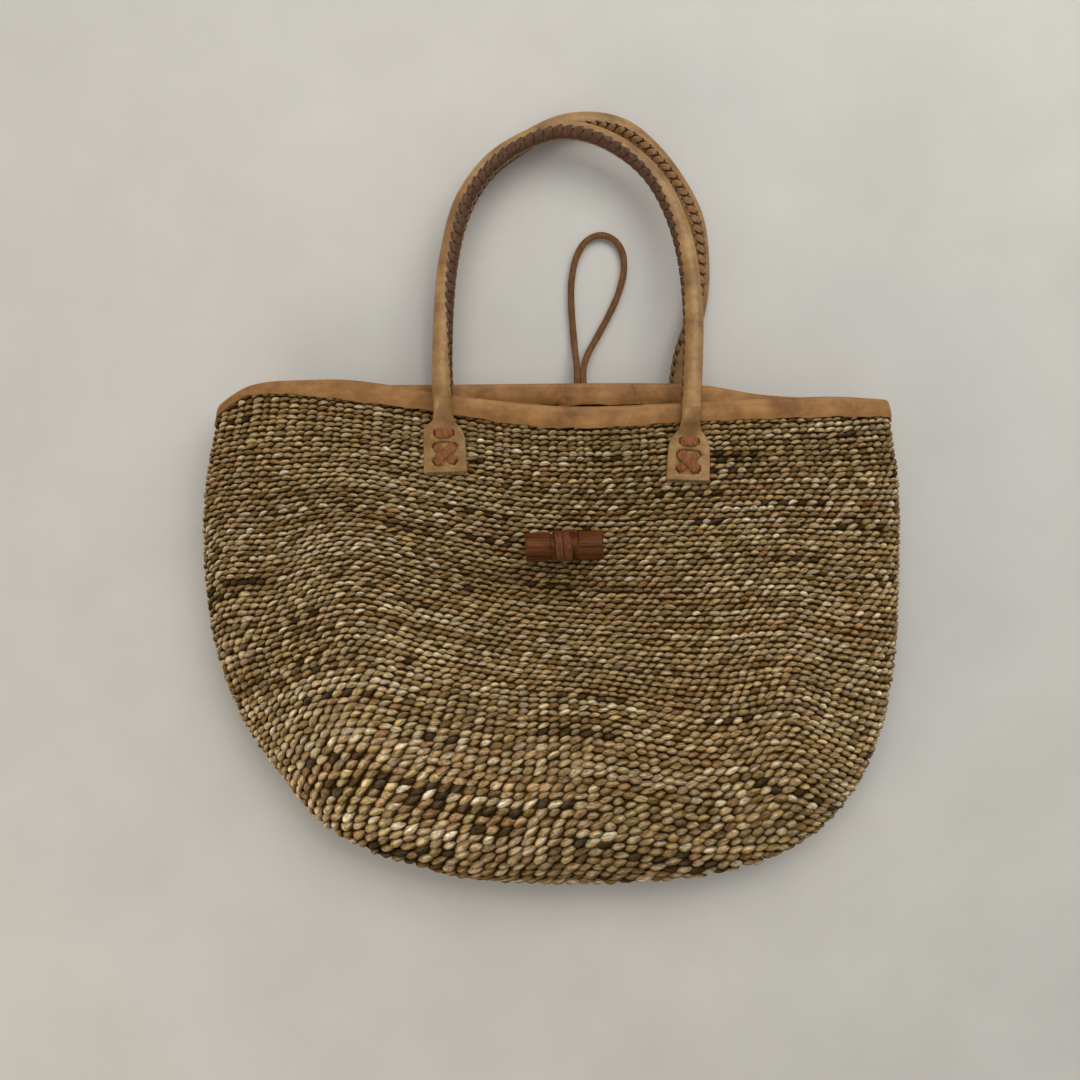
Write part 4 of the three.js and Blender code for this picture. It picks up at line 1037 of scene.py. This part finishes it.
class Tab(Local):
    """A tab's frame: x across it, y to the mouth, z out of the panel, and the hinge of its handle."""

    def __init__(self, face, x, turn):
        self.face = face
        up = np.array([-math.sin(math.radians(turn)), math.cos(math.radians(turn)), 0])
        foot_y = float(rim_over(x, face)) - tab_drop
        middle = np.array([x, foot_y, 0]) + up * tab_height / 2
        self.z = normal_at(middle[0], middle[1], face)
        self.y = unit(up - self.z * (up @ self.z))
        self.x = np.cross(self.y, self.z)
        on_panel = surface_at(middle[0], middle[1], face)
        foot = on_panel - self.y * tab_height / 2
        across, along = np.meshgrid((-tab_width / 2, 0, tab_width / 2), np.linspace(0, tab_height, 9))
        over = foot + self.x * across.reshape(-1, 1) + self.y * along.reshape(-1, 1)
        lift = (surface_at(over[:, 0], over[:, 1], face) - on_panel) @ self.z
        self.foot = foot + self.z * (max(0, lift.max()) + clearance / 3)
        hinge = self.at(0, tab_height + tab_neck_gap, 0)
        lift = handle_radius + clearance
        if face == "front":
            panel_z = surface_at(hinge[0], hinge[1] + handle_radius, face)[2]
            lift += panel_z + 2 * clearance + binding_leather
        self.hinge = np.array([hinge[0], hinge[1], lift])


tabs = {name: Tab(*place) for name, place in tab_places.items()}


def handle_curve(left, right, arch, reach, rest_z):
    """The handle's middle line from hinge to hinge."""
    over_binding = binding_height + handle_radius
    points = [left.hinge]
    for across, up in arch:
        x, y, z = left.hinge + (right.hinge - left.hinge) * across
        fall = np.clip((up * reach - over_binding) / (handle_rest_height - over_binding), 0, 1)
        points.append((x, y + up * reach, rest_z + (z - rest_z) * (1 - fall) ** handle_fall))
    curve, _ = resample(catmull(points + [right.hinge]), arch_steps)
    for _ in range(arch_smoothing):
        curve[1:-1] += (curve[:-2] + curve[2:] - 2 * curve[1:-1]) / 4
    return curve


tab_foot = [(0, 12.9), (0.5, 13.9), (1.2, 14.5), (2.4, tab_width / 2), (12, 14.6), (tab_straight, 14.1)]
tab_neck = [(37.5, 7.2), (41, 6.5), (46, tube_radius), (60, tube_radius)]
sloping_side = tab_foot + [(27.5, 13.3), (30, 12.1), (32, 10.8), (34, 9.1), (35.7, 7.9)] + tab_neck
square_side = tab_foot + [(30, 13.8), (32.6, 13.3), (34, 12.2), (35, 10.2), (36, 8.4)] + tab_neck
foot_bevel = 2.2  # the cut face at a tab's foot, seen from above
roll_start = 31.5  # where the flat tab begins to roll into a tube
roll_end = 52
least_bevel = 0.12  # of the full thickness, at the foot
flat_power = 7  # of the flat tab's rounded section
tab_stations = [(0, 0.25, 0.7, 1.3, 2.2), np.arange(4, 24, 3), np.arange(24.5, roll_end, 0.8)]
tube_rings = 300
tube_swells = ((0.012, 7, 0), (0.01, 17, 1))  # share of the radius, mm for each radian, start
groove_depth = 0.9
groove_half = 20  # degrees
lip_height = 0.6
lip_at = 30
lip_half = 9
groove_lead = 8  # before the first strap
groove_fade = 10
strap_pinch = 0.35
found_gap = 0.1  # the most between a point and its place before the cut
tube_wear = 0.06
edge_wear_reach = 0.9
raw_share = 0.9  # of the bevel
tab_reach = 5  # what lies nearer to the panel than this is the tab
seam_angles = np.array([0, 4, 8, 13, 19, 27, 38, 52, 70, 90, 112, 135, 158, 180, 202, 225, 248, 270,
    290, 308, 322, 333, 341, 347, 352, 356], float)


def leather_ring(middle, side, up, half_wide, half_high, power, seam, groove):
    """One ring of a handle leather, whose points crowd round the seam. half_wide is its reach away
    from the middle of the arch and towards it."""
    angle = np.radians(seam_angles + seam)
    c = np.cos(angle)
    away = np.minimum(seam_angles, 360 - seam_angles)
    lip = lip_height * np.exp(-((away - lip_at) / lip_half) ** 2)
    lip = lip - groove_depth * np.exp(-((away / groove_half) ** 4))
    grow = 1 + groove * lip / handle_radius
    across = signed_power(c, 2 / power) * np.where(c < 0, *half_wide) * grow
    high = signed_power(np.sin(angle), 2 / power) * half_high * grow
    return middle + across[:, None] * side + high[:, None] * up


def turned_frames(curve):
    along = tangents(curve)
    side = -unit(np.cross(upwards, along))
    up = unit(-np.cross(along, side))
    return side, up


def tab_rings(tab, curve, to_middle, seam):
    """Rings of leather from a tab's foot to roll_end, beyond which it is a tube along the curve."""
    y = np.concatenate(tab_stations)
    roll = smooth_step((y - roll_start) / (roll_end - roll_start))
    beyond = y - tab_height - tab_neck_gap
    before = np.minimum(beyond, 0)[:, None] * unit(curve[1] - curve[0])
    on_curve = read_line(beyond, distances(curve), curve) + before
    on_tab = tab.at(0, y, clearance + tab_thickness / 2)
    side = tab.x * np.sign(tab.x @ to_middle)
    up = tab.z * np.sign(tab.z[2])
    flat = tab_thickness / 2
    bevel = np.clip(y / foot_bevel, least_bevel, 1)
    middle = on_tab * (1 - roll[:, None]) + on_curve * roll[:, None] - up * (flat * (1 - bevel))[:, None]
    outer = square_side if tab is tabs["front_left"] else sloping_side
    wide = np.stack([np.interp(y, *np.array(shape).T) for shape in (outer, sloping_side)], -1)
    high = flat * bevel + (tube_radius - flat) * roll
    power = 2 + (flat_power - 2) * (1 - roll) ** 2
    return [leather_ring(m, side, up, w, h, p, seam, 0) for m, w, h, p in zip(middle, wide, high, power)]


def handle_leather_piece(name, left, right, curve, seam_line, darkening_reach):
    """Tab, tube and tab as one closed skin, and the places and seam values of the tube's points."""
    fine, length = resample(curve, leather_steps)
    side, up = turned_frames(fine)
    cut = roll_end - tab_height - tab_neck_gap
    shares = np.linspace(cut / length, 1 - cut / length, tube_rings)
    at = shares * length
    grooves = smooth_step((np.minimum(at, length - at) - lacing_start + groove_lead) / groove_fade)
    radii = tube_radius * (1 + sum(share * np.sin(at / rate + start) for share, rate, start in tube_swells))
    beats = 1 + strap_pinch * np.cos(2 * math.pi * at / strap_pitch)
    index = (shares * (len(fine) - 1)).round().astype(int)
    seam = curve_at(seam_line, shares)
    tube = [leather_ring(fine[i], side[i], up[i], (r, r), r, 2, s, g)
        for i, r, s, g in zip(index, radii, seam, grooves * beats)]
    to_middle = unit(right.hinge - left.hinge)
    start = tab_rings(left, fine, to_middle, float(curve_at(seam_line, 0)))
    end = tab_rings(right, fine[::-1], -to_middle, float(curve_at(seam_line, 1)))
    piece = loft(name, np.array(start + tube + end[::-1]), handle_leather, 50)
    away = np.where(seam_angles > 180, seam_angles - 360, seam_angles)
    seams = np.stack(np.broadcast_arrays(at[:, None], away, darkening_reach * grooves[:, None]), -1)
    return piece, np.array(tube).reshape(-1, 3), seams.reshape(-1, 3)


def store_seam(piece, places, seams):
    """Stores the seam attribute on the tube's points, which are found again by their places."""
    tree = KDTree(len(places))
    for i, place in enumerate(places):
        tree.insert(place, i)
    tree.balance()
    found = [tree.find(place) for place in keep_rest(piece)]
    store(piece.data, "seam", [seams[i] if gap < found_gap else (0, 180, 0) for _, i, gap in found])


def hole_cutter(tab, x, y, turn):
    """A rounded slot through a tab; its long side lies across the thong that goes in."""
    c, s = round_section(hole_sides, 3)
    a = math.radians(turn)
    thick, wide = c * hole_thick / 2, s * hole_wide / 2
    local_x = x + thick * math.cos(a) - wide * math.sin(a)
    local_y = y + thick * math.sin(a) + wide * math.cos(a)
    rings = [tab.at(local_x, local_y, np.full(hole_sides, z)) for z in hole_ends]
    return loft("cutter", np.array(rings), gap_shade, None)


def tab_holes():
    """Place and turn of each of a tab's six slots."""
    for end in (-1, 1):
        yield end * (bar_span + thong_thickness) / 2, bar_y, 0
    for turn in (cross_turn, -cross_turn):
        a = math.radians(turn)
        for end in (-cross_reach / 2, cross_reach / 2):
            yield end * math.cos(a), cross_y + end * math.sin(a), turn


def cut_holes(piece, handle_tabs):
    for tab in handle_tabs:
        for hole in tab_holes():
            cutter = hole_cutter(tab, *hole)
            apply_modifier(piece, "BOOLEAN", operation="DIFFERENCE", solver="EXACT", object=cutter)
            bpy.data.objects.remove(cutter)


def edge_wear(piece, handle_tabs):
    """Wear along the tabs' edges and a little on the tube, and the raw cut face at their feet."""
    place = keep_rest(piece)
    wear = np.full(len(place), tube_wear)
    raw = np.zeros(len(place))
    for tab in handle_tabs:
        x, y, z = ((place - tab.foot) @ axis for axis in (tab.x, tab.y, tab.z))
        edge = np.minimum(np.interp(y, *np.array(sloping_side).T) - np.abs(x), y)
        on_tab = (np.abs(x) < tab_width) * (np.abs(z) < tab_reach) * (y > -1)
        near = np.exp(-np.maximum(edge, 0) / edge_wear_reach) * (y < roll_start)
        wear = np.maximum(wear, near * on_tab)
        raw = np.maximum(raw, on_tab * (y < foot_bevel * raw_share))
    store(piece.data, "wear", wear)
    store(piece.data, "raw", raw)


def bend_at_hinge(piece):
    """Moves the piece's transform into its points."""
    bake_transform(piece)


def lacing(name, curve, seam_line, reach, strap_width, material):
    """Slanted straps over the seam, one after the other, which dive into the leather at both ends."""
    fine, length = resample(curve, lacing_steps)
    side, up = turned_frames(fine)
    t = np.linspace(-1, 1, strap_steps)
    straps = []
    for middle in np.arange(lacing_start, length - lacing_start, strap_pitch):
        share = (middle + strap_slant / 2 * t) / length
        index = (share * (len(fine) - 1)).round().astype(int)
        angle = np.radians(curve_at(seam_line, share) + reach * t)
        out = np.cos(angle)[:, None] * side[index] + np.sin(angle)[:, None] * up[index]
        dive = strap_dive * np.abs(t) ** strap_dive_power
        radius = tube_radius + strap_lift + strap_crown * (1 - t**2) - dive
        points = fine[index] + out * radius[:, None]
        width = strap_width * (1 - strap_narrowing * t**2)
        straps.append(band("strap", points, out, width, lacing_thickness, material, 10, 2.6))
    return join(name, straps)


def add_handle(face, arch, seam_line, straps, reach, rest_z, lacing_reach, strap_width):
    """reach is the arch's, from the hinges; lacing_reach is how far the straps go on each side of the
    seam, in degrees."""
    body = f"{face}_handle"
    left, right = tabs[f"{face}_left"], tabs[f"{face}_right"]
    curve = handle_curve(left, right, arch, reach, rest_z)
    piece, places, seams = handle_leather_piece(f"{body}_leather", left, right, curve, seam_line,
        lacing_reach)
    cut_holes(piece, (left, right))
    edge_wear(piece, (left, right))
    store_seam(piece, places, seams)
    bend_at_hinge(piece)
    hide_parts(f"{body}_cover", f"handle_tab_{face}_left", f"handle_tab_{face}_right")
    lace = lacing(f"{body}_thong", curve, seam_line, lacing_reach, strap_width, straps)
    finish_piece(lace, body, "lacing_thong", f"{body}_lacing")
    core = resample(curve, rope_steps)[0][rope_inset:-rope_inset]
    inside = band(f"{body}_rope", core, turned_frames(core)[1], rope_width, rope_width, rope, 12, 2)
    finish_piece(inside, body, "rope", f"{body}_core")


def strand_piece(name, tab, y, turn, span, top, width):
    """A thong strand over a tab, from one hole to the other."""
    a = math.radians(turn)
    half = span / 2
    low = tab_thickness / 2
    shoulder = (half - strand_shoulder, top - strand_shoulder)
    line = [(half, -strand_dive), (half, low), shoulder, (half * strand_flat, top)]
    line = [(-d, z) for d, z in line] + line[::-1]
    points = [tab.at(d * math.cos(a), y + d * math.sin(a), z) for d, z in line]
    fine, _ = resample(catmull(points), strand_steps)
    away = np.abs(np.linspace(-1, 1, strand_steps))
    across = tab.y * math.cos(a) - tab.x * math.sin(a)
    widths = width * (1 - strand_narrowing * smooth_step((away - narrowing_start) / narrowing_run))
    return band(name, fine, np.cross(tangents(fine), across), widths, thong_thickness, thong, 14, 3)


def add_stitches(name):
    tab = tabs[name]
    over = clearance + tab_thickness + thong_thickness / 2
    flip = 1 if name.endswith("left") == (tab.face == "front") else -1
    turn = flip * cross_turn
    span = bar_span + thong_thickness
    bar = strand_piece(f"bar_thong_{name}", tab, bar_y, 0, span, over + bar_lift, bar_width)
    finish_piece(bar, "bag", "thong", f"bar_stitch_{name}")
    under = strand_piece("under", tab, cross_y, -turn, cross_reach, over + under_lift, under_width)
    upper = strand_piece("upper", tab, cross_y, turn, cross_reach, over + upper_lift, upper_width)
    cross = join(f"cross_thong_{name}", [under, upper])
    finish_piece(cross, "bag", "thong", f"cross_stitch_{name}")


# Toggle

toggle_x = 7.4
toggle_below_rim = 92.8
toggle_turn = 2
peg_length = 52
peg_radius = 10
peg_waist_radius = 8.6
peg_waist_length = 18
peg_standoff = 12
peg_facets = 13
facet_reach = (0.955, 1.02)  # of the peg's radius
facet_turn = 0.22  # of a facet, to both sides
facet_unevenness = 0.006
peg_bevel = 0.7
wrap_turns = 2.35
wrap_start = -0.35  # radians from straight down
wrap_width = 5.2
wrap_thickness = 1.8
wrap_slack = 0.1
tie_width = 5
tie_thickness = 3.6
tie_run_inside = 2
tie_gap = 0.5  # under the wrap
tie_knot_reach = (3.2, 2.6, 0.9)
tie_knot_turns = 2
tie_knot_width, tie_knot_height = 3.4, 2.6
tip, waist = peg_length / 2, peg_waist_length / 2  # from the peg's middle
peg_profile = [  # place along the peg, share of its radius
    (-tip, 0.62), (-tip + 0.15, 0.86), (-tip + 0.9, 0.97), (-tip + 2.2, 1), (-tip + 8, 1.01),
    (-waist - 4, 0.995), (-waist - 1.3, 0.985), (-waist - 0.4, 0.95), (-waist, 0.87), (-waist + 1, 0.86),
    (waist - 1, 0.86), (waist, 0.87), (waist + 0.4, 0.95), (waist + 1.3, 0.985), (waist + 4, 1),
    (tip - 8, 1), (tip - 2.2, 0.985), (tip - 0.9, 0.95), (tip - 0.15, 0.84), (tip, 0.6),
]


class Toggle(Local):
    """x along the peg, z out of the front panel, from the panel's surface."""

    def __init__(self):
        y = float(rim_over(toggle_x, "front")) - toggle_below_rim
        a = math.radians(toggle_turn)
        self.z = normal_at(toggle_x, y, "front")
        self.y = unit(np.cross(self.z, (math.cos(a), math.sin(a), 0)))
        self.x = np.cross(self.y, self.z)
        self.foot = surface_at(toggle_x, y, "front")


def knot_line(turns, steps, reach):
    """x, y and z of a thong wound into a flat lump."""
    turn = np.linspace(0, turns * 2 * math.pi, steps)
    return reach[0] * np.cos(turn), reach[1] * np.sin(turn), reach[2] * np.sin(turn / 2)


def add_peg(toggle):
    facets = draw.uniform(*facet_reach, peg_facets)
    uneven = draw.uniform(-facet_turn, facet_turn, peg_facets)
    turn = (np.arange(peg_facets) + uneven) * 2 * math.pi / peg_facets
    rings = []
    for x, share in peg_profile:
        uneven = draw.uniform(-facet_unevenness, facet_unevenness, peg_facets)
        radius = peg_radius * share * facets * (1 + uneven)
        across, up = radius * np.sin(turn), peg_standoff + radius * np.cos(turn)
        rings.append(toggle.at(np.full(peg_facets, x), across, up))
    peg = loft("toggle_peg_wood", np.array(rings), wood, 19)
    apply_modifier(peg, "BEVEL", width=peg_bevel / 1000, segments=3, limit_method="ANGLE",
        angle_limit=math.radians(12))
    for polygon in peg.data.polygons:
        polygon.use_smooth = True
    finish_piece(peg, "toggle", "wood", "toggle_peg")


def add_wrap(toggle):
    turn = np.linspace(wrap_start, wrap_start + wrap_turns * 2 * math.pi, 120)
    x = np.linspace(-0.5, 0.5, len(turn)) * (peg_waist_length - clearance - wrap_width)
    radius = peg_waist_radius + wrap_thickness / 2 + wrap_slack
    y, z = np.sin(turn), -np.cos(turn)
    points = toggle.at(x, radius * y, peg_standoff + radius * z)
    out = toggle.y * y[:, None] + toggle.z * z[:, None]
    wrap = band("toggle_wrap_thong", points, out, wrap_width, wrap_thickness, wrap_leather, 16, 3)
    finish_piece(wrap, "toggle", "thong", "toggle_wrap")


def add_tie(toggle):
    low = -wall_thickness - tie_run_inside
    z = np.linspace(low, peg_standoff - peg_waist_radius - wrap_thickness - tie_gap, 8)
    stem = band("tie_stem", toggle.at(0 * z, 0 * z, z), toggle.y, tie_width, tie_thickness, thong, 14, 3)
    x, y, z = knot_line(tie_knot_turns, 60, tie_knot_reach)
    points = toggle.at(x, y, low - 1 + z)
    knot = band("tie_knot", points, toggle.z, tie_knot_width, tie_knot_height, thong, 10, 3)
    finish_piece(join("toggle_tie_thong", [stem, knot]), "bag", "thong", "toggle_tie")


# Closure loop

loop_thong_width = 4.2
loop_thong_height = 3.2
loop_band_height = 2.6  # as drawn, inside that height
loop_x = 19.5
loop_hole_below_rim = 26
loop_length = 106
loop_width = 38
loop_landing = 0.33  # of its length, where it comes down on the floor
loop_bend = 7.0  # the thong bends this far on each side of the pivot
loop_extra_width = 0.4
loop_wobble = 0.12
loop_wobble_rate = 0.31  # radians for each of its points
loop_steps = 260
loop_knot_reach = (5.2, 3.6, 1.1)
loop_knot_turns = 2.2
loop_knot_rise = 2.6
loop_knot_width, loop_knot_height = 3.8, 2.6
tail_width, tail_height = 5.8, 2.8
tail_x = 4.7
tail_below_rim = 13
loop_path = [(-0.06, 0.1), (-0.097, 0.25), (-0.135, 0.4), (-0.164, 0.56), (-0.154, 0.7), (-0.064, 0.85),
    (0.126, 0.955), (0.386, 0.99), (0.626, 0.96), (0.776, 0.885), (0.816, 0.77), (0.726, 0.62),
    (0.546, 0.47), (0.306, 0.31), (0.13, 0.19), (0.06, 0.1)]
strand_dx = (loop_thong_width + clearance) / 2
loop_rim_top = float(rim_over(loop_x, "back")) + clearance + binding_leather
half_edge = wall_thickness / 2 + clearance + binding_leather
loop_start = -half_edge - loop_bend
loop_pivot = np.array([loop_x, loop_rim_top - half_edge, mouth_back_z + wall_thickness / 2])
loop_start_z = loop_pivot[2] - half_edge - 2 * clearance - loop_thong_height / 2
loop_floor_z = loop_thong_height / 2 + clearance


def loop_point(dx, up):
    fall = 1 - smooth_step(up / (loop_landing * loop_length))
    return np.array([loop_x + dx, loop_rim_top + up, loop_floor_z + (loop_start_z - loop_floor_z) * fall])


def add_loop():
    left = [loop_point(-strand_dx, up) for up in (loop_start, loop_start / 2, 0.1)]
    right = [loop_point(strand_dx, up) for up in (0.1, loop_start / 2, loop_start)]
    middle = [loop_point(dx * loop_width, up * loop_length) for dx, up in loop_path]
    points, length = resample(catmull(left + middle + right), loop_steps)
    points[:, 2] = [loop_point(0, y - loop_rim_top)[2] for y in points[:, 1]]
    wobble = loop_wobble * np.sin(np.arange(loop_steps) * loop_wobble_rate)
    width = loop_thong_width + loop_extra_width + wobble
    piece = band("closure_loop_thong", points, upwards, width, loop_band_height, loop_leather, 14, 3.2)
    keep_rest(piece)
    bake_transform(piece)
    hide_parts("closure_loop")


def add_loop_root():
    """The hidden run of both strands from under the rim through the panel, their knot and the tail."""
    hole_y = loop_rim_top - loop_hole_below_rim
    panel_z = float(surface_at(loop_x, hole_y, "back")[2])
    inside_z = panel_z + wall_thickness
    start_y = loop_rim_top + loop_start
    pieces = []
    for x in (loop_x - strand_dx, loop_x + strand_dx):
        line = [(x, hole_y, inside_z + 2), (x, hole_y, panel_z - 1), (x, hole_y + 2, panel_z - 2.2),
            (x, start_y - 3, loop_start_z + 0.4), (x, start_y + 0.5, loop_start_z)]
        points, _ = resample(catmull(line), 40)
        out = np.cross((1.0, 0, 0), tangents(points))
        pieces.append(band("root", points, out, loop_thong_width + 0.2, loop_band_height, thong, 12, 3.2))
    knot = np.stack(knot_line(loop_knot_turns, 90, loop_knot_reach), -1)
    knot = knot + (loop_x, hole_y, inside_z + loop_knot_rise)
    pieces.append(band("knot", knot, upwards, loop_knot_width, loop_knot_height, thong, 12, 3))
    tail_y = float(rim_over(tail_x, "back")) - tail_below_rim
    tail_z = float(surface_at(tail_x, tail_y, "back")[2]) + wall_thickness + binding_leather + 2.2
    line = [(loop_x - 4, hole_y - 1, inside_z + 3), (loop_x - 9, hole_y + 5, inside_z + 4.5),
        (tail_x + 4, tail_y - 1, tail_z + 1), (tail_x, tail_y + 3, tail_z + 2)]
    points, _ = resample(catmull(line), 30)
    pieces.append(band("tail", points, upwards, tail_width, tail_height, thong, 14, 4))
    finish_piece(join("closure_loop_knot", pieces), "bag", "thong", "closure_loop_root")


# Light and floor

floor_half = 3000.0
floor_z = -2.1  # under the fullest stitches of the back


def add_light(name, place, aim, size, power, colour):
    """A rectangular lamp; place, aim and size are in metres."""
    light = bpy.data.lights.new(name, "AREA")
    light.shape = "RECTANGLE"
    light.size, light.size_y = size
    light.energy = power
    light.color = colour
    made = bpy.data.objects.new(name, light)
    made.location = place
    made.rotation_euler = (Vector(aim) - Vector(place)).to_track_quat("-Z", "Y").to_euler()
    scene.collection.objects.link(made)


def add_surroundings():
    corners = [(x * floor_half, y * floor_half, floor_z) for x, y in ((-1, -1), (1, -1), (1, 1), (-1, 1))]
    floor = mesh_object("floor", np.array(corners), [[(0, 1, 2, 3)]], floor_paint())
    keep_rest(floor)
    add_light("key", place=(0.42, 1.25, 1.45), aim=(0, 0.07, 0), size=(2.0, 1.3), power=27,
        colour=(1.0, 0.98, 0.94))
    add_light("warm_fill", place=(-1.2, -0.9, 0.4), aim=(-0.1, -0.1, 0.02), size=(0.8, 0.5), power=9,
        colour=(1.0, 0.82, 0.6))
    world = bpy.data.worlds.new("world")
    world.use_nodes = True
    background = world.node_tree.nodes["Background"]
    background.inputs["Color"].default_value = (0.93, 0.96, 1.0, 1)
    background.inputs["Strength"].default_value = 0.42
    scene.world = world
    scene.view_settings.view_transform = "Standard"


rest_on_floor = handle_radius + clearance
rest_on_handle = 3 * handle_radius + 2 * clearance + lacing_room + lacing_thickness

add_surroundings()
add_loop()
add_loop_root()
add_weave()
add_shell("weave_gaps", gaps_depth, gap_shade)
add_shell("weave_inside", wall_thickness - clearance, backing_fibre)
add_binding()
add_handle("front", front_arch, front_seam, shaded_lacing, reach=197.5, rest_z=rest_on_handle,
    lacing_reach=42, strap_width=6.2)
add_handle("back", back_arch, back_seam, pale_lacing, reach=198, rest_z=rest_on_floor,
    lacing_reach=25, strap_width=4.5)
for tab_name in tabs:
    add_stitches(tab_name)
toggle = Toggle()
for add in (add_peg, add_wrap, add_tie):
    add(toggle)
